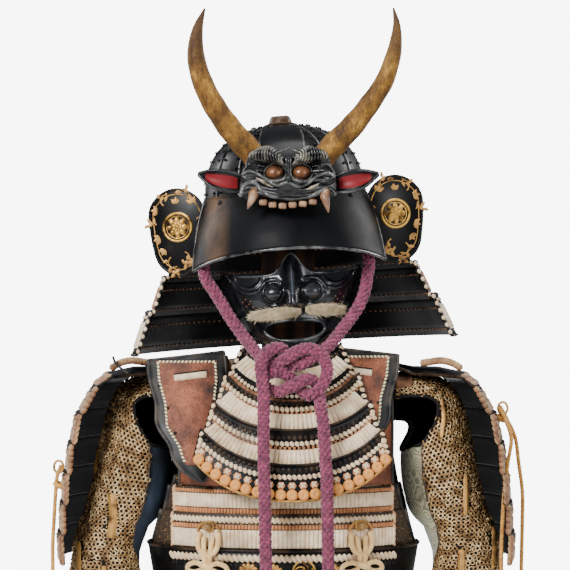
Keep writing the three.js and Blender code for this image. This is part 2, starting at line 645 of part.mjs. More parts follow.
const LEAF_RIGHT = { middle: -138.5, x: 103, y: 4, z: 7 };
add('leaf_left', leafPlate(), 'leaf');
add('leaf_right', mirrored(leafPlate(), LEAF_RIGHT.middle)
  .translate(LEAF_RIGHT.x - LEAF_RIGHT.middle, LEAF_RIGHT.y, LEAF_RIGHT.z), 'leaf');

// ---- shoulder guards: a top plate and a curtain of stepped lames, bowed round the arm ----
const GUARD = { half: 118, columns: 8, bowFront: 14, bowBack: 34, step: 4, thick: 2.5 };
const guardEdges = [
  { z: 596, x: 316 }, { z: 637, x: 314 }, { z: 678, x: 311 }, { z: 719, x: 306 }, { z: 760, x: 300 },
  { z: 801, x: 289 }, { z: 838, x: 266 },
];
const guardTop = [
  { z: 839, x: 268, half: 118 }, { z: 854, x: 250, half: 112, lip: 3 }, { z: 861, x: 218, half: 78, lip: 9 },
  { z: 862, x: 180, half: 50, lip: 9 }, { z: 869.5, x: 143, half: 34 },
];

function guardRow({ x, z, half = GUARD.half, lip = 0 }, out = 0) {
  return arc(-1, 1, GUARD.columns, (share) => vec(
    x + out - (share < 0 ? GUARD.bowFront : GUARD.bowBack) * share ** 2 * (half / GUARD.half),
    half * share, z - lip * share ** 6));
}

function guardCurtain() {
  const rows = [];
  for (let i = 0; i + 1 < guardEdges.length; i++) {
    const top = { ...guardEdges[i + 1], z: guardEdges[i + 1].z - 2 };
    rows.push(guardRow(guardEdges[i]), guardRow(top, GUARD.step));
  }
  return wall(rows, GUARD.thick);
}

function guardPlate() {
  return wall(guardTop.map((row) => guardRow(row)), GUARD.thick);
}

add('shoulder_guard_right', guardCurtain(), 'lacing');
add('shoulder_guard_left', mirrored(guardCurtain()), 'lacing');
add('shoulder_top_right', guardPlate(), 'lacquer');
add('shoulder_top_left', mirrored(guardPlate()), 'lacquer');

// ---- sleeves: a padded cloth tube down the arm, open at the armhole and the wrist ----
const SLEEVE = { columns: 24, crease: 0.03 };
// From the wrist, up the arm and over the shoulder: the middle of a section, its half-sizes, and its tilt in degrees.
const sleeveRows = [
  { x: 262, y: -44, z: 292, across: 37, deep: 44, tilt: 0 },
  { x: 262, y: -40, z: 352, across: 43, deep: 50, tilt: 0 },
  { x: 260, y: -30, z: 440, across: 48, deep: 56, tilt: 0 },
  { x: 255, y: -18, z: 530, across: 48, deep: 60, tilt: 0 },
  { x: 247, y: -9, z: 618, across: 48, deep: 64, tilt: 0 },
  { x: 225, y: -6, z: 668, across: 54, deep: 66, tilt: 4 },
  { x: 214, y: -3, z: 715, across: 53, deep: 67, tilt: 10 },
  { x: 206, y: 0, z: 765, across: 52, deep: 68, tilt: 28 },
  { x: 196, y: 0, z: 795, across: 52, deep: 66, tilt: 52 },
  { x: 175, y: 0, z: 806, across: 46, deep: 62, tilt: 80 },
  { x: 151, y: 0, z: 806, across: 44, deep: 60, tilt: 90 },
];
// The armhole is open under the shoulder: the cells left out of a band, counted round from the front.
const armhole = [{ row: 7, from: 17, to: 23 }, { row: 8, from: 14, to: 24 }, { row: 9, from: 14, to: 24 }];

function sleeve() {
  const count = SLEEVE.columns;
  const rows = sleeveRows.map(({ x, y, z, across, deep, tilt: lean }, i) => arc(0, 360 - 360 / count, count - 1,
    (turn) => {
      const crease = 1 + SLEEVE.crease * Math.sin(rad(turn * 3 + i * 70));
      const out = across * crease * Math.sin(rad(turn));
      const forward = deep * crease * Math.cos(rad(turn));
      return vec(x + out * Math.cos(rad(lean)), y - forward, z + out * Math.sin(rad(lean)));
    }));
  const open = (i, j) => armhole.some(({ row, from, to }) => i === row
    && (j || count) >= from && (j || count) <= to);
  return wall(rows, CLOTH, { closed: true, open });
}

// A hand guard: a lacquered plate over the back of the hand, in rows from the knuckles to the wrist.
const handRows = [
  { at: 0, z: 172, half: 26, x: 292 }, { at: 0.3, z: 205, half: 40, x: 298 }, { at: 0.7, z: 250, half: 42, x: 301 },
  { at: 1, z: 291.5, half: 36, x: 297 },
];

function handGuard() {
  const rows = handRows.map(({ z, half, x }) => arc(-1, 1, 6, (share) => vec(
    x - 20 * share ** 2, -44 + half * share, z)));
  return wall(rows, LEATHER);
}

add('sleeve_right', sleeve(), 'mail');
add('sleeve_left', mirrored(sleeve()), 'mail');
add('hand_guard_right', handGuard(), 'lacquer');
add('hand_guard_left', mirrored(handGuard()), 'lacquer');

// ---- stand ----
function roundedBoard(halfX, halfY, corner) {
  const shape = new THREE.Shape();
  const corners = [[1, -1, 270], [1, 1, 0], [-1, 1, 90], [-1, -1, 180]];
  const points = corners.flatMap(([sx, sy, from]) => arc(from, from + 90, 5, (turn) => new THREE.Vector2(
    sx * (halfX - corner) + corner * Math.cos(rad(turn)), sy * (halfY - corner) + corner * Math.sin(rad(turn)))));
  return shape.setFromPoints(points);
}

function beam() {
  const upper = arc(STAND.beamEnd, -STAND.beamEnd, 16, (x) => new THREE.Vector2(x, beamTop(x)));
  const lower = [new THREE.Vector2(-STAND.beamEnd, beamTop(STAND.beamEnd) - 26),
    new THREE.Vector2(-70, STAND.beamLow), new THREE.Vector2(70, STAND.beamLow),
    new THREE.Vector2(STAND.beamEnd, beamTop(STAND.beamEnd) - 26)];
  return new THREE.ExtrudeGeometry(new THREE.Shape([...upper, ...lower]), { depth: STAND.beamDepth,
    bevelEnabled: false }).rotateX(Math.PI / 2).translate(0, STAND.beamDepth / 2, 0);
}

function post(width, depth, low, high, x = 0) {
  return new THREE.BoxGeometry(width, depth, high - low).translate(x, 0, (low + high) / 2);
}

function headBlock() {
  const profile = [[0, 0], [58, 0], [70, 8], [66, 22], [52, 36], [34, 45], [16, 49], [0, 50]];
  return new THREE.LatheGeometry(profile.map(([radius, z]) => new THREE.Vector2(radius, z)), 20)
    .rotateX(Math.PI / 2).translate(CREST_X, BOWL.backShift, STAND.headTop);
}

add('stand_base', new THREE.ExtrudeGeometry(roundedBoard(STAND.baseX / 2, STAND.baseY / 2, 30),
  { depth: STAND.baseZ, bevelEnabled: false }), 'wood');
add('stand_frame', join(beam(), post(STAND.postSide, STAND.postSide - 8, STAND.baseZ + GAP, STAND.beamLow + 10)), 'wood');
add('stand_head', join(post(STAND.headWidth, STAND.headDepth, STAND.beamTop + GAP, STAND.headTop + 4, CREST_X),
  headBlock()), 'wood');

// ---- cords ----
const HELMET_CORD = { diameter: 13, strandSteps: 12, tailSteps: 16, knotDepth: 26 };
const helmetStrandLeft = [[-113, -66, 1016], [-112, -74, 989], [-100, -80, 969], [-89, -88, 952], [-80, -98, 937],
  [-69, -108, 921], [-57, -124, 905], [-46, -142, 892], [-38, -156, 880]];
const helmetStrandRight = [[113, -66, 1028], [114, -76, 1004], [111, -84, 985], [108, -90, 969], [101, -98, 951],
  [91, -110, 935], [79, -124, 920], [68, -142, 906], [58, -156, 892]];
const helmetTailLeft = [[-30, -183, 818], [-30, -187, 790], [-30, -190, 750], [-29, -192, 715], [-28, -190, 670],
  [-27, -186, 610], [-26, -180, 540], [-26, -176, 470], [-25, -174, 420], [-24, -173, 384]];
const helmetTailRight = [[46, -183, 814], [50, -187, 786], [52, -190, 750], [54, -192, 715], [55, -190, 670],
  [56, -186, 610], [57, -180, 540], [58, -176, 470], [58, -174, 420], [58, -173, 376]];

const KNOT_FRONT = -158;

// The knot's outer shape: a rounded lozenge with its open middle.
function knot() {
  const outline = new THREE.Shape([[-40, 870], [-30, 889], [0, 893], [30, 890], [54, 880], [57, 858], [50, 838],
    [30, 822], [0, 821], [-20, 826], [-36, 846]].map(([x, z]) => new THREE.Vector2(x, z)));
  const middle = new THREE.Path([[4, 862], [12, 855], [30, 858], [38, 866], [28, 874], [10, 873]]
    .map(([x, z]) => new THREE.Vector2(x, z)));
  outline.holes.push(middle);
  return new THREE.ExtrudeGeometry(outline, { depth: HELMET_CORD.knotDepth, bevelEnabled: false })
    .rotateX(Math.PI / 2).translate(0, KNOT_FRONT, 0);
}

// The knot's box, a little large, which ends the cords that run into it.
const KNOT_BOX = { width: 99, height: 73, x: 9, z: 857 };
const knotBox = new THREE.BoxGeometry(KNOT_BOX.width, HELMET_CORD.knotDepth + 2 * GAP, KNOT_BOX.height)
  .translate(KNOT_BOX.x, KNOT_FRONT - HELMET_CORD.knotDepth / 2, KNOT_BOX.z);

const tube = (route, count) => cordTube(route, HELMET_CORD.diameter, count);
add('helmet_cord_left', cut(tube(helmetStrandLeft, HELMET_CORD.strandSteps), knotBox), 'cord');
add('helmet_cord_right', cut(tube(helmetStrandRight, HELMET_CORD.strandSteps), knotBox), 'cord');
add('helmet_cord_knot', knot(), 'cord');
add('helmet_tail_left', cut(tube(helmetTailLeft, HELMET_CORD.tailSteps), knotBox), 'cord');
add('helmet_tail_right', cut(tube(helmetTailRight, HELMET_CORD.tailSteps), knotBox), 'cord');

// The shoulder-guard cords hang down the outside of each guard, near its front.
const GUARD_CORD = { diameter: 6.5, steps: 16 };
const guardCordLeft = [[-311, -58, 726], [-316, -61, 712], [-318, -62, 690], [-320, -62, 655], [-322, -61, 620],
  [-322, -61, 580], [-321, -60, 540], [-320, -60, 500], [-319, -60, 462]];
const guardCordRight = [[296, -58, 808], [304, -61, 792], [316, -62, 766], [321, -62, 730], [326, -62, 690],
  [326, -61, 650], [325, -60, 600], [324, -60, 550], [323, -60, 505], [322, -60, 470]];
add('guard_cord_left', cordTube(guardCordLeft, GUARD_CORD.diameter, GUARD_CORD.steps), 'yellow');
add('guard_cord_right', cordTube(guardCordRight, GUARD_CORD.diameter, GUARD_CORD.steps), 'yellow');

export default part;
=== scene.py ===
"""Samurai armour on a wooden stand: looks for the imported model. Metres, +Z up, the armour faces -Y."""
import math
import random

import bpy
import numpy as np
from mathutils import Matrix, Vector


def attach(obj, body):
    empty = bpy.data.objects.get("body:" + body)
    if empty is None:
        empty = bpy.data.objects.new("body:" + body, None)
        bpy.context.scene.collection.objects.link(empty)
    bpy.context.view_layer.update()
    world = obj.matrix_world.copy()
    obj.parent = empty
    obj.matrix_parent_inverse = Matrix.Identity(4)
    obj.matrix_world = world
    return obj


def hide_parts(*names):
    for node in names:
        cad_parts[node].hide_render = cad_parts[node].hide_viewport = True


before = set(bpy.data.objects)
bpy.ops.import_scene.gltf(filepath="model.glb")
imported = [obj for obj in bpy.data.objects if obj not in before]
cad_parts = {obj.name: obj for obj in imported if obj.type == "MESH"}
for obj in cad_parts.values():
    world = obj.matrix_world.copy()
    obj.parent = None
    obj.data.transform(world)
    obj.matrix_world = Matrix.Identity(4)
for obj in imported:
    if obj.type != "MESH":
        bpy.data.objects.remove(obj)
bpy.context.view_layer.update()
MM = 0.001

# ---- camera, light and floor ----
CAMERA_DISTANCE = 3.5
VIEW_PLANE_Y = -0.06
VIEW_WIDTH = 0.787
VIEW_CENTRE = (-0.0015, 0.976)
SENSOR = 36.0


def make_camera():
    data = bpy.data.cameras.new("camera")
    data.sensor_width = SENSOR
    data.lens = SENSOR * CAMERA_DISTANCE / VIEW_WIDTH
    data.clip_end = 50
    camera = bpy.data.objects.new("camera", data)
    camera.location = (VIEW_CENTRE[0], VIEW_PLANE_Y - CAMERA_DISTANCE, VIEW_CENTRE[1])
    camera.rotation_euler = (math.radians(90), 0, 0)
    bpy.context.scene.collection.objects.link(camera)
    bpy.context.scene.camera = camera


def area_light(name, place, aim, size, power, colour=(1, 1, 1)):
    data = bpy.data.lights.new(name, "AREA")
    data.shape = "RECTANGLE"
    data.size, data.size_y = size
    data.energy = power
    data.color = colour
    light = bpy.data.objects.new(name, data)
    light.location = place
    light.rotation_euler = (Vector(aim) - Vector(place)).to_track_quat("-Z", "Y").to_euler()
    bpy.context.scene.collection.objects.link(light)


def make_stage():
    world = bpy.data.worlds.new("studio")
    bpy.context.scene.world = world
    world.use_nodes = True
    nodes, links = world.node_tree.nodes, world.node_tree.links
    nodes.clear()
    rays = nodes.new("ShaderNodeLightPath")
    soft = nodes.new("ShaderNodeBackground")
    soft.inputs["Color"].default_value = (0.9, 0.92, 1.0, 1)
    soft.inputs["Strength"].default_value = 0.2
    white = nodes.new("ShaderNodeBackground")
    white.inputs["Color"].default_value = (1, 1, 1, 1)
    white.inputs["Strength"].default_value = 8.0
    choose = nodes.new("ShaderNodeMixShader")
    out = nodes.new("ShaderNodeOutputWorld")
    links.new(rays.outputs["Is Camera Ray"], choose.inputs[0])
    links.new(soft.outputs[0], choose.inputs[1])
    links.new(white.outputs[0], choose.inputs[2])
    links.new(choose.outputs[0], out.inputs["Surface"])
    bpy.ops.mesh.primitive_circle_add(vertices=64, radius=2.6, fill_type="NGON", location=(0, 0, 0))
    floor = bpy.context.object
    floor.name = "floor"
    floor.data.materials.append(plain("floor_pale", (0.82, 0.82, 0.81), 0.7))
    area_light("key", (-1.5, -2.6, 2.3), (0, 0, 1.0), (1.0, 1.0), 165)
    area_light("fill", (1.9, -2.4, 1.6), (0, 0, 0.95), (1.0, 1.4), 42)
    area_light("top", (0.1, -0.3, 3.2), (0, 0, 1.0), (1.6, 1.2), 50)
    area_light("rim_left", (-2.0, 1.3, 1.7), (0, 0, 1.0), (0.8, 1.6), 42)
    area_light("rim_right", (2.0, 1.3, 1.7), (0, 0, 1.0), (0.8, 1.6), 42)


# ---- materials ----
def new_material(name):
    material = bpy.data.materials.new(name)
    material.use_nodes = True
    tree = material.node_tree
    shader = tree.nodes["Principled BSDF"]
    return material, tree, shader


def plain(name, colour, roughness, shine=0.3):
    material, _, shader = new_material(name)
    shader.inputs["Specular IOR Level"].default_value = shine
    shader.inputs["Base Color"].default_value = (*colour, 1)
    shader.inputs["Roughness"].default_value = roughness
    return material


def linear(*srgb):
    """A colour given as 0-255 sRGB."""
    return tuple(((c / 255 + 0.055) / 1.055) ** 2.4 if c > 10 else c / 255 / 12.92 for c in srgb)


def place_of(tree):
    return tree.nodes.new("ShaderNodeTexCoord").outputs["Object"]


def noise(tree, scale, detail=4, stretch=(1, 1, 1), where=None, rough=0.55):
    mapping = tree.nodes.new("ShaderNodeMapping")
    mapping.inputs["Scale"].default_value = stretch
    node = tree.nodes.new("ShaderNodeTexNoise")
    node.inputs["Scale"].default_value = scale
    node.inputs["Detail"].default_value = detail
    node.inputs["Roughness"].default_value = rough
    tree.links.new(where or place_of(tree), mapping.inputs["Vector"])
    tree.links.new(mapping.outputs[0], node.inputs["Vector"])
    return node.outputs["Fac"]


def cells(tree, scale, feature="F1", out="Distance", stretch=(1, 1, 1)):
    mapping = tree.nodes.new("ShaderNodeMapping")
    mapping.inputs["Scale"].default_value = stretch
    node = tree.nodes.new("ShaderNodeTexVoronoi")
    node.feature = feature
    node.inputs["Scale"].default_value = scale
    tree.links.new(place_of(tree), mapping.inputs["Vector"])
    tree.links.new(mapping.outputs[0], node.inputs["Vector"])
    return node.outputs[out]


def ramp(tree, source, stops):
    node = tree.nodes.new("ShaderNodeValToRGB")
    band = node.color_ramp
    while len(band.elements) < len(stops):
        band.elements.new(0.5)
    for element, (place, colour) in zip(band.elements, stops):
        element.position = place
        element.color = (*colour, 1) if len(colour) == 3 else colour
    tree.links.new(source, node.inputs["Fac"])
    return node.outputs["Color"]


def grey(tree, source, low, high, start=0.3, end=0.7):
    node = tree.nodes.new("ShaderNodeMapRange")
    node.inputs["From Min"].default_value = start
    node.inputs["From Max"].default_value = end
    node.inputs["To Min"].default_value = low
    node.inputs["To Max"].default_value = high
    tree.links.new(source, node.inputs["Value"])
    return node.outputs["Result"]


def blend(tree, share, first, second, way="MIX"):
    node = tree.nodes.new("ShaderNodeMix")
    node.data_type = "RGBA"
    node.blend_type = way
    for socket, value in ((node.inputs[0], share), (node.inputs[6], first), (node.inputs[7], second)):
        if hasattr(value, "is_linked"):
            tree.links.new(value, socket)
        elif isinstance(value, tuple):
            socket.default_value = (*value, 1)
        else:
            socket.default_value = value
    return node.outputs[2]


def math_node(tree, way, first, second=0.0):
    node = tree.nodes.new("ShaderNodeMath")
    node.operation = way
    for socket, value in zip(node.inputs, (first, second)):
        if hasattr(value, "is_linked"):
            tree.links.new(value, socket)
        else:
            socket.default_value = value
    return node.outputs[0]


def bump(tree, shader, height, strength, distance=0.001):
    node = tree.nodes.new("ShaderNodeBump")
    node.inputs["Strength"].default_value = strength
    node.inputs["Distance"].default_value = distance
    tree.links.new(height, node.inputs["Height"])
    tree.links.new(node.outputs["Normal"], shader.inputs["Normal"])


def edge_wear_and_highlight(tree):
    """0 on flat stretches and up to 1 along convex edges."""
    geometry = tree.nodes.new("ShaderNodeNewGeometry")
    return grey(tree, geometry.outputs["Pointiness"], 0, 1, 0.505, 0.56)


# ---- shared ways of making a mesh: a mesh is (points, faces), points in millimetres ----
def unit(a):
    return a / np.maximum(np.linalg.norm(a, axis=-1, keepdims=True), 1e-9)


def grid_faces(rows, columns, closed=False, skip=None):
    faces = []
    for i in range(rows - 1):
        for j in range(columns if closed else columns - 1):
            if skip is None or not skip[i, j]:
                k = (j + 1) % columns
                faces.append((i * columns + j, i * columns + k, (i + 1) * columns + k, (i + 1) * columns + j))
    return faces


def wall(grid, thickness, closed=False, skip=None):
    """A wall of even thickness on a grid of points; it grows against the grid's normals."""
    rows, columns = grid.shape[:2]
    outer = grid.reshape(-1, 3)
    quads = grid_faces(rows, columns, closed, skip)
    index = np.array(quads)
    normal = np.zeros_like(outer)
    corner = outer[index]
    face = unit(np.cross(corner[:, 2] - corner[:, 0], corner[:, 3] - corner[:, 1]))
    for k in range(4):
        np.add.at(normal, index[:, k], face)
    inner = outer - unit(normal) * thickness
    count = len(outer)
    edges = {(q[k], q[(k + 1) % 4]) for q in quads for k in range(4)}
    faces = list(quads) + [tuple(n + count for n in reversed(q)) for q in quads]
    faces += [(v, u, u + count, v + count) for u, v in edges if (v, u) not in edges]
    return np.vstack([outer, inner]), faces


def sheet_of(grid, closed=False, skip=None):
    return grid.reshape(-1, 3).copy(), grid_faces(grid.shape[0], grid.shape[1], closed, skip)


def joined(*meshes):
    points, faces, base = [], [], 0
    for part_points, part_faces in meshes:
        points.append(part_points)
        faces += [tuple(n + base for n in face) for face in part_faces]
        base += len(part_points)
    return np.vstack(points), faces


def piece(name, meshes, materials, replaces=(), smooth=True, sharp=None):
    """An object in metres from meshes; `materials` has one for each mesh, or one for all."""
    meshes = meshes if isinstance(meshes, list) else [meshes]
    materials = materials if isinstance(materials, list) else [materials] * len(meshes)
    points, faces = joined(*meshes)
    data = bpy.data.meshes.new(name)
    data.from_pydata((points * MM).tolist(), [], faces)
    used = []
    slots = []
    for (_, part_faces), material in zip(meshes, materials):
        if material not in used:
            used.append(material)
            data.materials.append(material)
        slots += [used.index(material)] * len(part_faces)
    data.polygons.foreach_set("material_index", slots)
    data.polygons.foreach_set("use_smooth", [smooth] * len(faces))
    data.update()
    used_points = {n for face in faces for n in face}
    if len(used_points) < len(points):
        drop_loose(data)
    obj = bpy.data.objects.new(name, data)
    bpy.context.scene.collection.objects.link(obj)
    if sharp:
        data.set_sharp_from_angle(angle=math.radians(sharp))
    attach(obj, "root")
    if replaces:
        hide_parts(*replaces)
    return obj


def drop_loose(data):
    import bmesh
    shape = bmesh.new()
    shape.from_mesh(data)
    loose = [v for v in shape.verts if not v.link_faces]
    bmesh.ops.delete(shape, geom=loose, context="VERTS")
    shape.to_mesh(data)
    shape.free()


def stamp(template, origins, across, up, sizes=None):
    """Copies of a template at many places: x runs across, y up, z out along their cross product."""
    points, faces = template
    across, up = unit(np.asarray(across)), np.asarray(up)
    out = unit(np.cross(across, up))
    up = unit(np.cross(out, across))
    sizes = np.ones((len(origins), 3)) if sizes is None else np.broadcast_to(sizes, (len(origins), 3))
    axes = np.stack([across, up, out], axis=1)
    placed = np.einsum("pk,nk,nkj->npj", points, sizes, axes) + np.asarray(origins)[:, None, :]
    count = len(points)
    everywhere = [tuple(k + n * count for k in face) for n in range(len(origins)) for face in faces]
    return placed.reshape(-1, 3), everywhere


def ring_points(radius, z, count, squash=1.0):
    turn = np.linspace(0, 2 * math.pi, count, endpoint=False)
    return np.stack([radius * np.cos(turn), radius * squash * np.sin(turn), np.full(count, z)], axis=1)


def lathe(profile, count):
    """A template turned about z: rings of (radius, height), closed by a last small ring."""
    grid = np.stack([ring_points(radius, z, count) for radius, z in profile])
    points, faces = sheet_of(grid, closed=True)
    faces.append(tuple((len(profile) - 1) * count + k for k in range(count)))
    return points, faces


def strand_template():
    """A flat silk strand, 1 wide, 1 long and 1 high."""
    section = [(-0.5, 0), (-0.36, 0.75), (0, 1), (0.36, 0.75), (0.5, 0)]
    rows = [(0, 0.15), (0.08, 0.95), (0.92, 0.95), (1, 0.15)]
    grid = np.array([[(x, y, z * high) for x, z in section] for y, high in rows])
    return sheet_of(grid)


def bead_template(sides=6):
    """Half an ellipsoid, 1 wide, 1 long and 1 high, centred on its base."""
    return lathe([(0.5, 0), (0.43, 0.52), (0.2, 0.92)], sides)


STRAND, BEAD = strand_template(), bead_template()
KNOB = lathe([(0.5, 0), (0.52, 0.35), (0.44, 0.75), (0.3, 1.0), (0.17, 0.96), (0.1, 0.8), (0.03, 0.78)], 14)
STUD = lathe([(0.5, 0), (0.44, 0.5), (0.28, 0.85), (0.08, 1)], 8)


def rotated(template, degrees):
    points, faces = template
    c, s = math.cos(math.radians(degrees)), math.sin(math.radians(degrees))
    turn = np.array([[c, s, 0], [-s, c, 0], [0, 0, 1]])
    return points @ turn, faces


def scaled(template, *sizes):
    points, faces = template
    return points * np.array(sizes), faces


def on_ellipse(x, half_width, half_depth, turn, z, y=0.0):
    turn = np.radians(turn)
    return np.stack(np.broadcast_arrays(x + half_width * np.sin(turn), y - half_depth * np.cos(turn), z),
                    axis=-1)


def bell(value, centre, spread):
    return np.exp(-(((value - centre) / spread) ** 2))


def between(value, table):
    """Reads a table of (place, value) pairs, in rising order of place."""
    places, values = zip(*table)
    return np.interp(value, places, values)


def smooth_between(value, table):
    """The same, eased through the rows instead of straight between them."""
    places, values = (np.array(part, float) for part in zip(*table))
    slope = np.gradient(values, places)
    i = np.clip(np.searchsorted(places, value) - 1, 0, len(places) - 2)
    width = places[i + 1] - places[i]
    t = np.clip((value - places[i]) / width, 0, 1)
    return (values[i] * (1 + 2 * t) * (1 - t) ** 2 + slope[i] * width * t * (1 - t) ** 2
            + values[i + 1] * t * t * (3 - 2 * t) + slope[i + 1] * width * t * t * (t - 1))


class Band:
    """A lame between a low and a top edge, each a function of u from 0 to 1 that gives points."""

    def __init__(self, low, top):
        self.low, self.top = low, top

    def at(self, u, v):
        u, v = np.broadcast_arrays(np.asarray(u, float), np.asarray(v, float))
        low, top = self.low(u), self.top(u)
        return low + (top - low) * v[..., None]

    def grid(self, columns, heights):
        u = np.linspace(0, 1, columns + 1)
        return np.stack([self.at(u, np.full_like(u, v)) for v in heights])

    def spaced(self, v, pitch, margin=0.0):
        """Values of u about `pitch` mm apart along the band at height v."""
        u = np.linspace(0, 1, 241)
        line = self.at(u, np.full_like(u, v))
        along = np.concatenate([[0], np.cumsum(np.linalg.norm(np.diff(line, axis=0), axis=1))])
        count = max(2, round((along[-1] - 2 * margin) / pitch))
        wanted = margin + (np.arange(count) + 0.5) * (along[-1] - 2 * margin) / count
        return np.interp(wanted, along, u)

    def frames(self, u, v):
        """Origin, across and up at places on the band."""
        step = 1e-3
        here = self.at(u, v)
        across = self.at(u + step, v) - self.at(u - step, v)
        up = self.at(u, np.asarray(v) + 0.01) - here
        return here, across, up

    def height(self, u=0.5):
        return float(np.linalg.norm(self.at(u, 1.0) - self.at(u, 0.0)))


def strands(band, low, top, pitch, width=0.92, high=1.3, margin=0.0, lift=0.0):
    """Close vertical lacing from height `low` to `top`, as shares of the band."""
    u = band.spaced((low + top) / 2, pitch, margin)
    origin, across, up = band.frames(u, np.full_like(u, low))
    reach = np.linalg.norm(band.at(u, np.full_like(u, top)) - origin, axis=1)
    sizes = np.stack([np.full_like(u, pitch * width), reach, np.full_like(u, high)], axis=1)
    origin = origin + unit(np.cross(across, up)) * lift
    return stamp(STRAND, origin, across, up, sizes)


def twists(band, v, pitch, length, width=0.55, high=1.6, lean=38, margin=0.0, lift=0.0):
    """A row of slanted stitches that reads as a twisted cord."""
    u = band.spaced(v, pitch, margin)
    origin, across, up = band.frames(u, np.full_like(u, v))
    origin = origin + unit(np.cross(across, up)) * lift
    return stamp(rotated(scaled(BEAD, pitch * width * 1.5, length, high), lean), origin, across, up)


def row_of(band, template, v, pitch, size, margin=0.0, lift=0.0):
    u = band.spaced(v, pitch, margin)
    origin, across, up = band.frames(u, np.full_like(u, v))
    origin = origin + unit(np.cross(across, up)) * lift
    return stamp(template, origin, across, up, size)


def crosses(band, v, pitch, size, high=1.5, margin=0.0, lift=0.0):
    bar = scaled(BEAD, size * 0.34, size, high)
    return joined(*(row_of(band, rotated(bar, lean), v, pitch, (1, 1, 1), margin, lift)
                    for lean in (45, -45)))


# ---- the materials of the armour ----
def lacquer(name, base=(13, 16, 21), worn=(92, 62, 40), wear=0.55, gloss=0.3, shine=0.3):
    """Blue-black urushi: fine orange-peel, brown wear on the edges."""
    # Convex edges take the worn colour: brown wear on most lacquers; on the mask, crest, ribs and crest edges
    # its grey is painted highlight, partly real wear.
    material, tree, shader = new_material(name)
    tone = noise(tree, 9, 5)
    body = ramp(tree, tone, [(0.3, linear(*base)), (0.55, linear(*(c + 4 for c in base))),
                             (0.75, linear(*(c + 11 for c in base)))])
    scuffs = grey(tree, noise(tree, 26, 6, rough=0.7), 0, 1, 0.6, 0.72)
    edges = math_node(tree, "MULTIPLY", edge_wear_and_highlight(tree), grey(tree, noise(tree, 40, 4), 0, 1, 0.4, 0.6))
    share = math_node(tree, "MULTIPLY", math_node(tree, "MAXIMUM", edges, math_node(
        tree, "MULTIPLY", scuffs, 0.35)), wear)
    tree.links.new(blend(tree, share, body, linear(*worn)), shader.inputs["Base Color"])
    tree.links.new(grey(tree, noise(tree, 14, 5), gloss - 0.08, gloss + 0.2), shader.inputs["Roughness"])
    shader.inputs["Specular IOR Level"].default_value = shine
    bump(tree, shader, noise(tree, 90, 3), 0.12, 0.0006)
    return material


def silk(name, light, dark, dirt=(120, 90, 60), ribs=900, axis=2):
    """Flat silk lacing: fine plaited ribs, soiled in places."""
    material, tree, shader = new_material(name)
    stretch = [1.0, 1.0, 1.0]
    stretch[axis] = 0.35
    tone = blend(tree, grey(tree, noise(tree, 70, 4), 0, 1), linear(*light), linear(*dark))
    soiled = grey(tree, noise(tree, 17, 5), 0, 0.45, 0.52, 0.72)
    tree.links.new(blend(tree, soiled, tone, linear(*dirt)), shader.inputs["Base Color"])
    shader.inputs["Roughness"].default_value = 0.72
    shader.inputs["Sheen Weight"].default_value = 0.25
    shader.inputs["Sheen Roughness"].default_value = 0.4
    fine = noise(tree, ribs, 2, tuple(stretch))
    weave = math_node(tree, "ADD", fine, cells(tree, ribs * 0.8))
    bump(tree, shader, weave, 0.55, 0.0006)
    return material


def gilt(name, light=(214, 172, 92), dark=(120, 84, 40), metal=0.85, rough=0.38):
    material, tree, shader = new_material(name)
    tone = ramp(tree, noise(tree, 60, 5),
                [(0.32, linear(*dark)), (0.5, linear(*light)), (0.8, linear(*light))])
    tree.links.new(tone, shader.inputs["Base Color"])
    shader.inputs["Metallic"].default_value = metal
    tree.links.new(grey(tree, noise(tree, 120, 3), rough - 0.08, rough + 0.2), shader.inputs["Roughness"])
    bump(tree, shader, noise(tree, 260, 3), 0.25, 0.0005)
    return material


def horn_material():
    """Golden-brown horn, mottled and finely crackled, dark at its tips."""
    material, tree, shader = new_material("horn_crackled")
    mottle = ramp(tree, noise(tree, 42, 7, (1, 1, 0.55), rough=0.65), [
        (0.28, linear(30, 19, 8)), (0.42, linear(78, 52, 18)), (0.55, linear(118, 82, 30)),
        (0.68, linear(168, 126, 56)), (0.82, linear(82, 54, 20))])
    crackle = grey(tree, cells(tree, 190, "DISTANCE_TO_EDGE", stretch=(1, 1, 0.5)), 1, 0, 0.0, 0.05)
    veined = blend(tree, math_node(tree, "MULTIPLY", crackle, 0.6), mottle, linear(60, 34, 14))
    split = tree.nodes.new("ShaderNodeSeparateXYZ")
    tree.links.new(place_of(tree), split.inputs[0])
    tip = grey(tree, split.outputs["Z"], 0, 0.8, 1.255, 1.33)
    tree.links.new(blend(tree, tip, veined, linear(58, 40, 28)), shader.inputs["Base Color"])
    shader.inputs["Roughness"].default_value = 0.62
    shader.inputs["Specular IOR Level"].default_value = 0.2
    height = math_node(tree, "SUBTRACT", noise(tree, 160, 6), math_node(tree, "MULTIPLY", crackle, 0.6))
    bump(tree, shader, height, 0.5, 0.0012)
    return material


def leather_material():
    """Pitted red-brown leather."""
    material, tree, shader = new_material("leather_pitted")
    tone = ramp(tree, noise(tree, 34, 6, rough=0.6), [
        (0.3, linear(52, 26, 16)), (0.48, linear(106, 56, 34)), (0.66, linear(148, 84, 54)),
        (0.85, linear(84, 44, 28))])
    pits = grey(tree, cells(tree, 420), 1, 0, 0.1, 0.42)
    dark = math_node(tree, "MULTIPLY", pits, grey(tree, noise(tree, 25, 3), 0.2, 0.9))
    tree.links.new(blend(tree, dark, tone, linear(30, 16, 11)), shader.inputs["Base Color"])
    shader.inputs["Roughness"].default_value = 0.68
    bump(tree, shader, math_node(tree, "SUBTRACT", noise(tree, 200, 4), pits), 0.6, 0.0012)
    return material


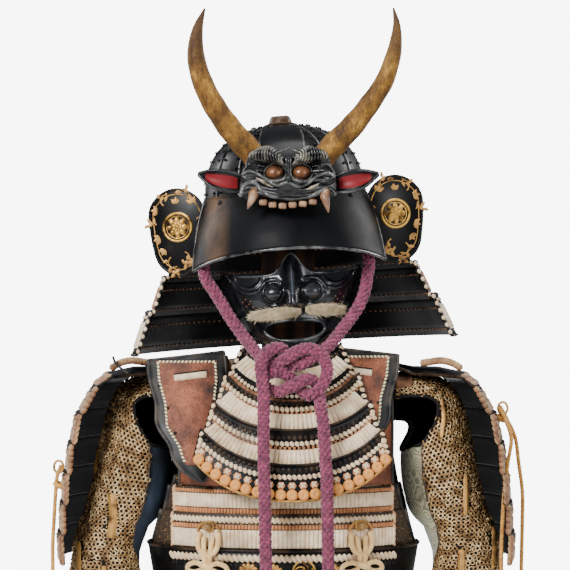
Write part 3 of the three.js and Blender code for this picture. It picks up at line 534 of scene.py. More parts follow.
def cord_material(name, light, dark, scale=1500):
    material, tree, shader = new_material(name)
    tone = blend(tree, grey(tree, noise(tree, 120, 4), 0, 1), linear(*light), linear(*dark))
    tree.links.new(tone, shader.inputs["Base Color"])
    shader.inputs["Roughness"].default_value = 0.8
    shader.inputs["Sheen Weight"].default_value = 0.5
    shader.inputs["Sheen Roughness"].default_value = 0.4
    bump(tree, shader, noise(tree, scale, 2, (1, 1, 0.4)), 0.5, 0.0006)
    return material


def wood_material():
    material, tree, shader = new_material("wood_dark_and_shaded")
    mapping = tree.nodes.new("ShaderNodeMapping")
    mapping.inputs["Scale"].default_value = (2.6, 2.6, 0.35)
    wave = tree.nodes.new("ShaderNodeTexWave")
    wave.inputs["Scale"].default_value = 4
    wave.inputs["Distortion"].default_value = 7
    wave.inputs["Detail"].default_value = 4
    tree.links.new(place_of(tree), mapping.inputs["Vector"])
    tree.links.new(mapping.outputs[0], wave.inputs["Vector"])
    # Partly the wood's own dark brown, partly painted shade: the tones are darkened beyond it.
    tone = ramp(tree, wave.outputs["Fac"], [(0.1, linear(40, 22, 10)), (0.5, linear(74, 44, 20)),
                                           (0.9, linear(98, 62, 30))])
    tree.links.new(tone, shader.inputs["Base Color"])
    shader.inputs["Roughness"].default_value = 0.5
    bump(tree, shader, noise(tree, 60, 5, (6, 6, 0.5)), 0.3, 0.0008)
    return material


def brocade_material():
    """Cream-green silk with a generic scroll of rings."""
    material, tree, shader = new_material("brocade")
    rings = math_node(tree, "SINE", math_node(tree, "MULTIPLY", cells(tree, 62), 26))
    ground = blend(tree, grey(tree, noise(tree, 30, 4), 0, 1), linear(196, 188, 152), linear(168, 160, 128))
    figure = blend(tree, grey(tree, rings, 0, 1, 0.1, 0.5), ground, linear(120, 120, 96))
    tree.links.new(figure, shader.inputs["Base Color"])
    shader.inputs["Roughness"].default_value = 0.62
    shader.inputs["Sheen Weight"].default_value = 0.4
    bump(tree, shader, math_node(tree, "ADD", rings, noise(tree, 900, 2)), 0.35, 0.0006)
    return material


def flecked_leather():
    """Dark leather with flecks of worn gold, as under the arms."""
    material, tree, shader = new_material("leather_flecked")
    flecks = grey(tree, cells(tree, 260), 1, 0, 0.12, 0.3)
    patchy = math_node(tree, "MULTIPLY", flecks, grey(tree, noise(tree, 22, 4), 0.1, 1))
    tree.links.new(blend(tree, patchy, linear(52, 40, 30), linear(188, 146, 84)), shader.inputs["Base Color"])
    shader.inputs["Roughness"].default_value = 0.6
    bump(tree, shader, flecks, 0.4, 0.0008)
    return material


def fur_material():
    material, tree, shader = new_material("fur_cream")
    tone = blend(tree, grey(tree, noise(tree, 160, 3), 0, 1), linear(232, 218, 182), linear(176, 150, 104))
    tree.links.new(tone, shader.inputs["Base Color"])
    shader.inputs["Roughness"].default_value = 0.85
    shader.inputs["Sheen Weight"].default_value = 0.3
    return material


def visor_lacquer():
    """Duller black, rubbed through to brown in an upright streak beside the left temple."""
    material, tree, shader = new_material("lacquer_visor")
    position = tree.nodes.new("ShaderNodeSeparateXYZ")
    tree.links.new(place_of(tree), position.inputs[0])
    base = ramp(tree, noise(tree, 7, 5),
                [(0.3, linear(3, 4, 6)), (0.6, linear(6, 7, 10)), (0.8, linear(13, 14, 17))])
    apart = math_node(tree, "ABSOLUTE", math_node(tree, "ADD", position.outputs[0], 0.094), 0.0)
    streak = grey(tree, apart, 1.0, 0.0, 0.004, 0.02)
    rubbed = math_node(tree, "MULTIPLY", streak, grey(tree, noise(tree, 16, 5), 0.1, 0.75, 0.35, 0.65))
    tree.links.new(blend(tree, rubbed, base, linear(96, 68, 42)), shader.inputs["Base Color"])
    tree.links.new(grey(tree, noise(tree, 18, 5), 0.42, 0.64), shader.inputs["Roughness"])
    shader.inputs["Specular IOR Level"].default_value = 0.12
    bump(tree, shader, noise(tree, 70, 4), 0.2, 0.0006)
    return material


def tooth_material():
    """Old bone, browner and darker in patches."""
    material, tree, shader = new_material("tooth_bone")
    tone = ramp(tree, noise(tree, 60, 4),
                [(0.32, linear(92, 62, 44)), (0.5, linear(128, 94, 68)), (0.7, linear(176, 142, 110))])
    tree.links.new(tone, shader.inputs["Base Color"])
    shader.inputs["Roughness"].default_value = 0.38
    return material


def blue_lining_shaded():
    """Near-black cloth, painted shade on the left sleeve, with random faded blue-grey patches like the one low
    on the side of the body.
    """
    material, tree, shader = new_material("lining_blue_shaded")
    tone = ramp(tree, noise(tree, 9, 3),
                [(0.42, linear(14, 15, 18)), (0.6, linear(48, 62, 80)), (0.75, linear(86, 106, 130))])
    tree.links.new(tone, shader.inputs["Base Color"])
    shader.inputs["Roughness"].default_value = 0.9
    return material


def mail_metal():
    material, tree, shader = new_material("mail_brass")
    tone = ramp(tree, noise(tree, 75, 5), [(0.3, linear(92, 64, 38)), (0.46, linear(176, 136, 86)),
                                          (0.64, linear(244, 212, 158))])
    tree.links.new(tone, shader.inputs["Base Color"])
    shader.inputs["Metallic"].default_value = 0.45
    shader.inputs["Roughness"].default_value = 0.42
    return material


BLACK = lacquer("lacquer_black", base=(3, 4, 6), worn=(50, 46, 42), wear=0.3, gloss=0.3, shine=0.14)
BLACK_WORN = lacquer("lacquer_worn", base=(5, 5, 7), worn=(88, 66, 48), wear=0.45, shine=0.16)
# The grey worn colours of the next four are painted highlights on convex edges, partly real wear; the crest one
# also greys the bowl's ridges and seams.
MASK_BLACK = lacquer("lacquer_mask", base=(6, 8, 11), worn=(96, 100, 106), wear=0.4, gloss=0.18, shine=0.5)
SLATE_BLACK = lacquer("lacquer_crest", base=(4, 5, 8), worn=(96, 98, 98), wear=0.5, gloss=0.2, shine=0.35)
RIB = lacquer("lacquer_ribs", base=(12, 12, 13), worn=(148, 142, 126), wear=0.75, gloss=0.24, shine=0.5)
CREST_EDGE = lacquer("lacquer_edges", base=(6, 7, 10), worn=(128, 130, 126), wear=0.38, gloss=0.16, shine=0.6)
VISOR_BLACK = visor_lacquer()
# Painted highlight: the pale colour of the tubes on the cheek folds beside the nose.
CHEEK_FOLD_HIGHLIGHT = plain("cheek_fold_highlight", linear(150, 136, 118), 0.35)
# Painted highlight: a pale line down the mask's nose ridge.
NOSE_HIGHLIGHT = plain("nose_ridge_highlight", linear(70, 76, 84), 0.32)
CREAM = silk("silk_cream", (244, 226, 196), (206, 174, 134))
CREAM_ROUND = silk("silk_cream_twist", (240, 220, 186), (196, 162, 120), axis=0)
ORANGE = silk("silk_orange", (206, 138, 86), (160, 96, 54), dirt=(110, 64, 36))
BROWN = silk("silk_brown", (168, 112, 74), (120, 76, 48), dirt=(80, 50, 30))
GOLD = gilt("gold_leaf", (206, 160, 78), (92, 62, 28), 0.8, 0.36)
GOLD_DULL = gilt("gold_dull", (188, 142, 76), (104, 72, 38), 0.6, 0.5)
COPPER = gilt("copper_eye", (112, 72, 46), (64, 38, 26), 0.35, 0.26)
HORN = horn_material()
LEATHER = leather_material()
SLATE = lacquer("leather_border", base=(20, 20, 22), worn=(84, 76, 68), wear=0.6, gloss=0.5)
# A near-black matt copy of the lacquer for the shoulder guards: its extra darkness is painted shade for their
# shadowed insides.
BLACK_MATT_SHADED = plain("lacquer_inside_shaded", linear(2, 2, 3), 0.7, 0.08)
TOOTH = tooth_material()
RED = lacquer("lacquer_red", base=(112, 14, 20), worn=(60, 12, 14), wear=0.5, gloss=0.4)
STUB = gilt("stub_bronze", (74, 52, 34), (32, 22, 15), 0.35, 0.42)
KNOB_WOOD = gilt("knob_bronze", (160, 122, 74), (84, 60, 36), 0.4, 0.45)
MAUVE = cord_material("cord_mauve", (142, 56, 88), (78, 24, 48))
MAUVE_DARK = plain("cord_shadow", linear(44, 12, 26), 0.9, 0.1)
YELLOW = cord_material("cord_yellow", (226, 168, 76), (180, 120, 44))
WOOD = wood_material()
BROCADE = brocade_material()
FLECKED = flecked_leather()
FUR = fur_material()
MAIL = mail_metal()
CLOTH_DARK = plain("cloth_ground", linear(17, 14, 13), 0.95)
make_camera()
make_stage()


def tube(line, radius, sides=8, closed=False, flat=1.0, normal=None):
    """A round or flattened tube along points in mm; `radius` may vary along it."""
    line = np.asarray(line, float)
    count = len(line)
    radius = np.broadcast_to(np.asarray(radius, float), (count,))
    if closed:
        along = unit(np.roll(line, -1, 0) - np.roll(line, 1, 0))
    else:
        along = unit(np.gradient(line, axis=0))
    if normal is not None:
        side = unit(np.cross(along, np.broadcast_to(np.asarray(normal, float), line.shape)))
    else:
        side = np.zeros_like(line)
        start = np.array([0, 0, 1.0]) if abs(along[0, 2]) < 0.9 else np.array([0, 1.0, 0])
        side[0] = unit(np.cross(along[0], start))
        for i in range(1, count):
            side[i] = unit(side[i - 1] - along[i] * np.dot(side[i - 1], along[i]))
    other = np.cross(along, side)
    turn = np.linspace(0, 2 * math.pi, sides, endpoint=False)
    grid = (line[:, None] + radius[:, None, None] * (np.cos(turn)[None, :, None] * side[:, None]
            + flat * np.sin(turn)[None, :, None] * other[:, None]))
    if closed:
        grid = np.concatenate([grid, grid[:1]])
        points, faces = sheet_of(grid, closed=True)
        last = count * sides
        faces = [tuple(n - last if n >= last else n for n in face) for face in faces]
        return points[:last], faces
    points, faces = sheet_of(grid, closed=True)
    faces.append(tuple(reversed(range(sides))))
    faces.append(tuple((count - 1) * sides + k for k in range(sides)))
    return points, faces


def curve_through(points, count):
    """A smooth line through given points, evenly spaced."""
    points = np.asarray(points, float)
    ends = np.vstack([2 * points[0] - points[1], points, 2 * points[-1] - points[-2]])
    fine = []
    for a, b, c, d in zip(ends, ends[1:], ends[2:], ends[3:]):
        t = np.linspace(0, 1, 24, endpoint=False)[:, None]
        fine.append(0.5 * (2 * b + (c - a) * t + (2 * a - 5 * b + 4 * c - d) * t * t
                           + (3 * b - a - 3 * c + d) * t ** 3))
    line = np.vstack([*fine, points[-1:]])
    along = np.concatenate([[0], np.cumsum(np.linalg.norm(np.diff(line, axis=0), axis=1))])
    at = np.linspace(0, along[-1], count)
    return np.stack([np.interp(at, along, line[:, k]) for k in range(3)], axis=1)


# ---- helmet ----
HEAD_X = 1.0
HEAD_PIVOT = np.array([0, 0, 1060.0])
HEAD_TILT = math.radians(-3.6)
BOWL_Y = 5.0
PLATES = 16
BOWL_ROWS = {"z": [1100, 1125, 1150, 1170, 1185, 1195, 1200],
             "width": [112, 110, 102, 88, 68, 44, 18], "depth": [130, 127, 117, 101, 78, 50, 20]}


def tilt(mesh):
    """Turns what belongs to the head about the middle of the helmet."""
    points, faces = mesh
    c, s = math.cos(HEAD_TILT), math.sin(HEAD_TILT)
    moved = points - HEAD_PIVOT
    turned = np.stack([moved[:, 0] * c + moved[:, 2] * s, moved[:, 1], -moved[:, 0] * s + moved[:, 2] * c],
                      axis=1)
    return turned + HEAD_PIVOT, faces


def bowl_point(turn, t, out=0.0):
    """A point on the bowl: t is 0 at the rim and 1 at the top opening."""
    at = np.linspace(0, 1, len(BOWL_ROWS["z"]))
    z, width, depth = (smooth_between(t, list(zip(at, BOWL_ROWS[key]))) for key in ("z", "width", "depth"))
    return on_ellipse(HEAD_X, width + out, depth + out, turn, z + 0.3 * out, BOWL_Y)


def slab(outline, low, high, chamfer, order=(0, 1, 2)):
    """A board from an outline, its edges chamfered; `order` says which axes the outline and the height take."""
    outline = np.array(outline, float)
    if sum(a[0] * b[1] - b[0] * a[1] for a, b in zip(outline, np.roll(outline, -1, 0))) < 0:
        outline = outline[::-1]
    ahead, behind = unit(np.roll(outline, -1, 0) - outline), unit(outline - np.roll(outline, 1, 0))
    inward = unit(np.stack([-(ahead + behind)[:, 1], (ahead + behind)[:, 0]], axis=1))
    rings = []
    for height, inset in ((low, chamfer), (low + chamfer * 0.3, chamfer * 0.3), (low + chamfer, 0),
                          (high - chamfer, 0),
                          (high - chamfer * 0.3, chamfer * 0.3), (high, chamfer)):
        flat = outline + inward * inset
        rings.append(np.column_stack([flat, np.full(len(flat), float(height))]))
    count = len(outline)
    points, faces = sheet_of(np.array(rings), closed=True)
    faces = faces + [tuple(reversed(range(count))), tuple(5 * count + k for k in range(count))]
    moved = np.empty_like(points)
    for k, axis in enumerate(order):
        moved[:, axis] = points[:, k]
    if order != (0, 1, 2):
        faces = [tuple(reversed(face)) for face in faces]
    return moved, faces


def helmet_bowl():
    turn = np.arange(0, 360, 3.75)
    rows = np.linspace(0, 1, 25)
    shell = wall(np.stack([bowl_point(turn, t) for t in rows]), 2.2, closed=True)
    ridges, rivets = [], []
    for place in np.arange(PLATES) * 360 / PLATES + 180 / PLATES:
        if min(place, 360 - place) < 20:
            continue
        t = np.linspace(0.02, 0.99, 26)
        middle = bowl_point(np.full_like(t, place), t, 0.4)
        ridges.append(tube(middle, np.interp(t, [0, 1], [1.9, 1.2]), 6))
        for shift in (-1, 1):
            spots = np.linspace(0.06, 0.86, 9)
            at = bowl_point(place + shift * 3.2 / (1.05 - 0.75 * spots), spots)
            across = bowl_point(place + shift * 3.2 / (1.05 - 0.75 * spots) + 0.5, spots) - at
            up = bowl_point(place + shift * 3.2 / (1.05 - 0.75 * spots), spots + 0.01) - at
            rivets.append(stamp(STUD, at, across, up, (4.4, 4.4, 3.6)))
    t = np.linspace(0.02, 0.985, 30)
    at = np.linspace(0, 1, len(BOWL_ROWS["z"]))
    width = smooth_between(t, list(zip(at, BOWL_ROWS["width"])))
    half = np.degrees(np.arcsin(np.clip(np.interp(t, [0, 0.6, 1], [31, 29, 20]) / width, 0, 0.9)))
    share = np.linspace(-1, 1, 17)
    panel = wall(np.stack([bowl_point(a * share, np.full(17, b), 1.9) for a, b in zip(half, t)]), 1.2)
    seams = [tube(bowl_point(side * half, t, 2.0), 1.3, 6) for side in (-1, 1)]
    band_line = [bowl_point(a, 0.0, 1.0) for a in np.arange(0, 360, 5)]
    rim = tube(np.array(band_line), 2.2, 8, closed=True)
    meshes = [shell, joined(*ridges), joined(*rivets), rim, panel, *seams]
    piece("bowl_shell", [tilt(m) for m in meshes],
          [BLACK, SLATE_BLACK, BLACK, BLACK, BLACK, SLATE_BLACK, SLATE_BLACK],
          ["helmet_bowl"], sharp=50)


def top_fitting():
    profile = [(22, 1201), (22.4, 1202.5), (17.5, 1203.6), (16.2, 1204.4), (15.4, 1208), (13.2, 1212.6),
               (12, 1213.6),
               (10.4, 1213), (10, 1204), (10, 1201.5)]
    turn = np.linspace(0, 2 * math.pi, 64, endpoint=False)
    facets = 1 - 0.035 * np.abs(np.sin(4 * turn))
    grid = np.stack([np.stack([HEAD_X + radius * facets * np.cos(turn),
                               BOWL_Y + radius * facets * np.sin(turn),
                               np.full_like(turn, z)], axis=1) for radius, z in profile])
    piece("top_cup", tilt(sheet_of(grid, closed=True)), STUB, ["top_fitting"], sharp=40)


VISOR_REACH = 72.0
VISOR_WIDTH = [(0, 141), (0.35, 136), (0.7, 128), (1, 117)]
VISOR_DEPTH = [(0, 180), (0.35, 172), (0.7, 157), (1, 135.5)]


def visor_point(turn, t, out=0.0):
    low = 1025 - 33 * (1 - np.cos(np.radians(turn)))
    z = low + (1103 - low) * t
    return on_ellipse(HEAD_X, smooth_between(t, VISOR_WIDTH) + out, smooth_between(t, VISOR_DEPTH) + out,
                      turn, z, BOWL_Y)


def visor():
    turn = np.linspace(-VISOR_REACH, VISOR_REACH, 73)
    shell = wall(np.stack([visor_point(turn, np.full_like(turn, t)) for t in np.linspace(0, 1, 17)]), 2.2)
    edge = np.concatenate([visor_point(turn, np.full_like(turn, 0.0), -1.0),
                           visor_point(np.full(12, VISOR_REACH), np.linspace(0.06, 1, 12), -1.0)])
    left = visor_point(np.full(12, -VISOR_REACH), np.linspace(1, 0.06, 12), -1.0)
    rim = tube(np.concatenate([left, edge]), 2.3, 8)
    studs_turn = np.array([-66, -48, 48, 66.0])
    at = visor_point(studs_turn, np.full(4, 0.9))
    studs = stamp(STUD, at, visor_point(studs_turn + 1, np.full(4, 0.9)) - at,
                  visor_point(studs_turn, np.full(4, 0.95)) - at, (8, 8, 3))
    piece("visor_plate", [tilt(shell), tilt(rim), tilt(studs)], [VISOR_BLACK, CREST_EDGE, BLACK],
          ["visor"])


NECK_LAMES = [
    {"z": (1038, 1093), "width": (146, 121), "depth": (160, 142), "front": 81},
    {"z": (992, 1046), "width": (174, 150.5), "depth": (178, 164.5), "front": 84},
    {"z": (945, 1000), "width": (200, 178.5), "depth": (194, 182.5), "front": 76},
    {"z": (892, 953), "width": (229, 204.5), "depth": (212, 198.5), "front": 72},
]


def neck_band(row, out=0.0):
    def edge(side):
        def points(u):
            turn = row["front"] + (360 - 2 * row["front"]) * u
            return on_ellipse(HEAD_X, row["width"][side] + out, row["depth"][side] + out, turn,
                              row["z"][side], BOWL_Y)
        return points
    return Band(edge(0), edge(1))


def neck_guard():
    for number, row in enumerate(NECK_LAMES, 1):
        band = neck_band(row)
        shell = wall(band.grid(90, np.linspace(0, 1, 5)), 2.5)
        inside = neck_band(row, -3.0)
        laced = joined(strands(band, 0.16, 0.74, 7.2, high=1.7, margin=10))
        heads = row_of(band, BEAD, 0.95, 7.2, (6.6, 4.5, 1.6), margin=6)
        cream = twists(band, 0.84, 6.4, 4.2, margin=8)
        inner_dots = stamp(BEAD, *inner_frames(inside, 0.62, 9.0), (4.5, 3.4, 1.4))
        inner_dots_low = stamp(BEAD, *inner_frames(inside, 0.12, 9.0), (4.5, 3.4, 1.4))
        edges = joined(*(end_knots(band, u, 5 if number < 4 else 6) for u in (0.0, 1.0)))
        rim = tube(band.at(np.linspace(0, 1, 91), np.zeros(91)), 1.9, 6)
        meshes = [shell, heads, rim, laced, cream, edges, inner_dots, inner_dots_low]
        looks = [BLACK, BLACK, BLACK_WORN, BROWN if number % 2 else CREAM, CREAM_ROUND, CREAM_ROUND, BROWN,
                 BROWN]
        piece(f"neck_lame_{number}", [tilt(m) for m in meshes], looks,
              [f"neck_guard_{number}"])


def inner_frames(band, v, pitch):
    """Places on the inner face, facing in."""
    u = band.spaced(v, pitch, 8)
    origin, across, up = band.frames(u, np.full_like(u, v))
    return origin, -across, up


def end_knots(band, u, count, size=7.5):
    """The lacing that binds the end edge of a lame."""
    v = (np.arange(count) + 0.5) / count
    here = band.at(np.full(count, u), v)
    _, across, up = band.frames(np.full(count, u), v)
    return joined(stamp(rotated(scaled(BEAD, 5.0, size, 2.6), 30), here, across, up),
                  stamp(rotated(scaled(BEAD, 5.0, size, 2.6), -30), here, -across, up))


FLAP = {"x": 153, "y": -32, "z": 1066, "thick": 3, "sweep": 0.35, "dish": 7}
FLAP_OUTLINE = [(0, 38), (45, 48), (90, 53), (120, 50), (160, 42), (200, 38), (240, 52), (265, 68), (290, 62),
                (325, 43), (360, 38)]
RING_RADIUS = 21.5


def flap_radius(turn):
    turn = np.mod(turn, 360)
    table = [(a - 360, r) for a, r in FLAP_OUTLINE[-3:-1]] + FLAP_OUTLINE + [(a + 360, r) for a,
                                                                             r in FLAP_OUTLINE[1:3]]
    return smooth_between(turn, table)


def flap_place(across, up, out=0.0):
    """A point on the flap's front, from its distances across and up from the middle of the ring."""
    turn = np.degrees(np.arctan2(up, across))
    share = np.hypot(across, up) / flap_radius(turn)
    y = FLAP["y"] + across * FLAP["sweep"] + FLAP["dish"] * share * share - out
    return np.stack([FLAP["x"] + across, y, FLAP["z"] + up], axis=-1)


def flap_polar(turn, share, out=0.0):
    radius = flap_radius(turn) * share
    return flap_place(radius * np.cos(np.radians(turn)), radius * np.sin(np.radians(turn)), out)


def leaf_shape(length, width):
    """A small raised leaf, pointing along y."""
    rows = np.linspace(0, 1, 5)
    grid = np.array([[(s * width / 2 * math.sin(math.pi * min(t + 0.04, 0.98)), length * t,
                       0.7 * (1 - s * s) + 0.05)
                      for s in (-1, 0, 1)] for t in rows])
    return sheet_of(grid)


def foliage():
    """Generic gold scrolls: stems that curl, with leaves in pairs, and loose leaf sprays."""
    stems, leaves = [], []
    curls = [(-12, 34, 150, -250, 15), (16, 30, 30, 250, 13), (-6, -34, 200, 230, 14),
             (10, -40, 330, -240, 13),
             (-27, 8, 120, 160, 8), (29, 4, 60, -160, 7), (2, -56, 250, 200, 7)]
    for x, z, heading, turn, reach in curls:
        t = np.linspace(0, 1, 22)
        angle = np.radians(heading + turn * t)
        step = reach * (1.15 - t) * 0.15
        across, up = x + np.cumsum(step * np.cos(angle)), z + np.cumsum(step * np.sin(angle))
        line = flap_place(across, up, 0.5)
        stems.append(tube(line, np.interp(t, [0, 1], [1.1, 0.6]), 5))
        for i, side in ((3, 1), (6, -1), (9, 1), (13, -1), (18, 1)):
            lean = angle[i] + side * 0.9
            here = flap_place(across[i:i + 1], up[i:i + 1], 0.5)
            along = np.array([[math.cos(lean), 0.1, math.sin(lean)]])
            leaves.append(stamp(leaf_shape(8.6, 5.2), here, np.cross(along, [[0, -1.0, 0]]), along))
    for x, z, heading in ((-24, 33, 60), (-31, -10, 200), (27, 24, 10), (20, -30, 300), (-16, -48, 240),
                          (0, 33, 90), (26, -14, 340)):
        here = flap_place(np.array([x * 1.0]), np.array([z * 1.0]), 0.5)
        for spread in (-48, 0, 48):
            lean = math.radians(heading + spread)
            along = np.array([[math.cos(lean), 0.1, math.sin(lean)]])
            leaves.append(stamp(leaf_shape(9.5, 6.0), here, np.cross(along, [[0, -1.0, 0]]), along))
    return joined(*stems, *leaves)


def rosette(radius, petals=8):
    """A generic flower boss: two rows of round petals about a button."""
    parts = []
    for row, (reach, wide, long, start) in enumerate(((0.62, 0.56, 0.8, 0.0), (0.32, 0.36, 0.55, 0.5))):
        turn = (np.arange(petals) + start) * 2 * math.pi / petals
        at = flap_place(radius * reach * np.cos(turn), radius * reach * np.sin(turn), 0.5 + 1.1 * row)
        along = np.stack([np.cos(turn), 0 * turn, np.sin(turn)], axis=1)
        across = np.cross(along, [[0, -1.0, 0]])
        parts.append(stamp(scaled(BEAD, radius * wide, radius * long, 2.0), at, across, along))
    parts.append(stamp(scaled(BEAD, radius * 0.42, radius * 0.42, 3.6),
                       flap_place(np.zeros(1), np.zeros(1), 0.6),
                       [(1.0, 0, 0)], [(0, 0, 1.0)]))
    return joined(*parts)


def flap(side):
    turn = np.arange(0, 360, 5.0)
    shares = [0.03, 0.3, 0.6, 0.8, 0.92, 1.0]
    front = np.stack([flap_polar(turn, s) for s in shares])
    back = np.stack([flap_polar(turn, s, -FLAP["thick"]) for s in reversed(shares)])
    plate, faces = sheet_of(np.concatenate([front, back]), closed=True)
    faces += [tuple(reversed(range(72))), tuple((2 * len(shares) - 1) * 72 + k for k in range(72))]
    rim = tube(flap_polar(turn, 0.985, -1.2), 2.6, 8, closed=True)
    line = tube(flap_polar(turn, 0.87, 0.3), 0.8, 5, closed=True)
    circle = np.linspace(0, 2 * math.pi, 48, endpoint=False)
    ring = tube(flap_place(RING_RADIUS * 0.9 * np.cos(circle), RING_RADIUS * 0.9 * np.sin(circle), 0.6), 2.1,
                8, closed=True)
    inner = tube(flap_place(RING_RADIUS * 0.72 * np.cos(circle), RING_RADIUS * 0.72 * np.sin(circle), 0.4),
                 0.7, 5, closed=True)
    meshes = [(plate, faces), rim, line, ring, inner, rosette(RING_RADIUS * 0.72), foliage()]
    looks = [BLACK_WORN, BLACK, GOLD_DULL, GOLD, GOLD, GOLD, GOLD_DULL]
    meshes = [tilt(m if side > 0 else across_of(m, HEAD_X)) for m in meshes]
    piece(f"flap_shell_{'right' if side > 0 else 'left'}", meshes, looks,
          [f"flap_{'right' if side > 0 else 'left'}"], sharp=60)


def across_of(mesh, middle=0.0):
    """The mesh for the other side, mirrored across x = middle."""
    points, faces = mesh
    moved = points.copy()
    moved[:, 0] = 2 * middle - moved[:, 0]
    return moved, [tuple(reversed(face)) for face in faces]


# ---- crest ----
CREST_X, CREST_BACK = 3.0, -150.0
CREST_OUTLINE = [(1088, 30), (1092, 52), (1099, 62), (1108, 67), (1125, 66), (1138, 61), (1152, 57),
                 (1163, 50), (1170, 30)]


def crest_depth(x, z):
    """How far the demon's face stands out from its back, from its modelled forms."""
    away = np.abs(x)
    snout = 27 * bell(away, 0, 44) * bell(z, 1112, 17)
    brow = 12 * bell(z, 1151 + away * 0.12, 10) * bell(away, 32, 28)
    socket = -9 * bell(away, 24, 20) * bell(z, 1133, 9)
    cheek = 7 * bell(z, 1128 + 8 * np.cos(away / 15), 4.5) * bell(away, 48, 14)
    bridge = 15 * bell(away, 0, 4.5) * bell(z, 1143, 17)
    fold = 5.5 * bell(z, 1121 + 3.2 * np.cos(away / 8.5), 3.2) * bell(away, 10, 34)
    fold += 4.5 * bell(z, 1129 - 0.006 * (away - 46) ** 2, 3.0) * bell(away, 46, 22)
    nose = 9 * bell(away, 0, 9) * bell(z, 1122, 7) + 6 * bell(away, 15, 8) * bell(z, 1119, 6)
    nostril = -11 * bell(z, 1114 + 0.28 * (away - 26), 3.2) * bell(away, 27, 11)
    lip_line = 1099.5 + 5.5 * bell(away, 52, 15) - 2.5 * bell(away, 0, 24)
    lip = 9 * bell(z, lip_line, 4.0) * bell(away, 26, 36)
    gum = -13 * bell(z, 1091, 5.0) * bell(away, 0, 50)
    return 14 + snout + brow + socket + cheek + bridge + fold + nose + nostril + lip + gum


def crest_surface(x, z, out=0.0):
    return np.stack([CREST_X + x, CREST_BACK - 2 - crest_depth(x, z) - out, z + 0 * x], axis=-1)


def crest_fit(mesh):
    """The crest, its mount and the ears sit a little lower and closer in than they are drawn."""
    points = np.array(mesh[0], float)
    points[:, 0] = CREST_X + (points[:, 0] - CREST_X) * 0.965
    points[:, 2] = 1124.6 + (points[:, 2] - 1130) * 0.965
    return points, mesh[1]


def crest_face():
    rows, columns = 74, 96
    t = np.linspace(0, 1, rows)
    z = 1088 + 82 * t
    half = smooth_between(z, CREST_OUTLINE)
    share = np.linspace(-1, 1, columns)
    x = half[:, None] * np.sin(share * math.pi / 2)[None, :]
    height = np.broadcast_to(z[:, None], x.shape) - 14 * bell(x, 0, 17) * np.clip((z[:, None] - 1140) / 30, 0,
                                                                                  1)
    edge = np.sqrt(np.clip(np.minimum.reduce([7 * (1 - np.abs(share))[None, :] + 0 * x,
                                              12 * t[:, None] + 0 * x + 0.02,
                                              9 * (1 - t)[:, None] + 0 * x + 0.02]), 0, 1))
    depth = 2 + crest_depth(x, height) * edge
    front = np.stack([CREST_X + x, CREST_BACK - depth, height], axis=-1)
    back = front.copy()
    back[..., 1] = CREST_BACK
    skin = sheet_of(front)
    rear_points, rear_faces = sheet_of(back)
    shift = len(skin[0])
    rim = ([j for j in range(columns)] + [(i + 1) * columns - 1 for i in range(1, rows)]
           + [rows * columns - 1 - j for j in range(1, columns)]
           + [i * columns for i in range(rows - 2, 0, -1)])
    faces = skin[1] + [tuple(n + shift for n in reversed(face)) for face in rear_faces]
    faces += [(rim[(k + 1) % len(rim)], rim[k], rim[k] + shift, rim[(k + 1) % len(rim)] + shift)
              for k in range(len(rim))]
    body = (np.vstack([skin[0], rear_points]), faces)
    meshes = [body, brows(), eyes(), eye_lids(), teeth(), fangs(), cheek_fold_highlights()]
    backing = slab([(-17, 1106), (23, 1106), (23, 1142), (3, 1153), (-17, 1142)], -149.6, -112, 2, (0, 2, 1))
    piece("crest_mount", crest_fit(backing), SLATE_BLACK, ["crest_bracket"])
    piece("demon_face", [crest_fit(m) for m in meshes],
          [SLATE_BLACK, RIB, COPPER, CREST_EDGE, TOOTH, TOOTH, CHEEK_FOLD_HIGHLIGHT],
          ["crest_face"])


def brows():
    """Each brow is a row of coiled ribs that swell in the middle of their run."""
    ribs = []
    for side in (-1, 1):
        for k in range(12):
            t = k / 11
            x = side * (7 + 43.5 * t)
            z = 1146 + 12.5 * math.sin(math.pi * (0.08 + 0.62 * t)) - 2.5 * (1 - t)
            half = 6.3 + 4.8 * math.sin(math.pi * min(1, 0.06 + t * 0.95))
            turn = np.linspace(-0.25, math.pi + 0.25, 16)
            lean = side * (0.5 - 1.0 * t)
            up = half * np.cos(turn)
            forward = np.sin(turn)
            across = x + up * math.sin(lean) * 0.9 + side * (4.6 * forward - 2.5)
            base = CREST_BACK - 2 - float(crest_depth(np.array(x), np.array(z))) * 0.8
            line = np.stack([CREST_X + across, base - 2 - 8.5 * forward, z + up * math.cos(lean)], axis=1)
            ribs.append(tube(line, np.interp(np.abs(turn - math.pi / 2), [0, 1.8], [1.75, 1.2]), 7))
    return joined(*ribs)


def ellipsoid(centre, radii, sides=20, rings=12):
    turn = np.linspace(0, 2 * math.pi, sides, endpoint=False)
    lift = np.linspace(-math.pi / 2 + 0.12, math.pi / 2 - 0.12, rings)
    grid = np.stack([np.stack([radii[0] * math.cos(a) * np.cos(turn), radii[1] * math.cos(a) * np.sin(turn),
                               np.full(sides, radii[2] * math.sin(a))], axis=1)
                               for a in lift]) + np.array(centre)
    points, faces = sheet_of(grid, closed=True)
    faces += [tuple(reversed(range(sides))), tuple((rings - 1) * sides + k for k in range(sides))]
    return points, faces


def eyes():
    balls = []
    for x in (-18.6, 17.8):
        y = CREST_BACK - 2 - crest_depth(np.array(x), np.array(1131.0))
        balls.append(ellipsoid((CREST_X + x, float(y) - 3.5, 1131.0), (12.8, 10.5, 10.4), 36, 24))
    return joined(*balls)


def crest_line(points, radius, out=0.6, count=40):
    """A raised line on the face through given places (x, z)."""
    line = curve_through([(x, 0, z) for x, z in points], count)
    return tube(crest_surface(line[:, 0], line[:, 2], out), radius, 7)


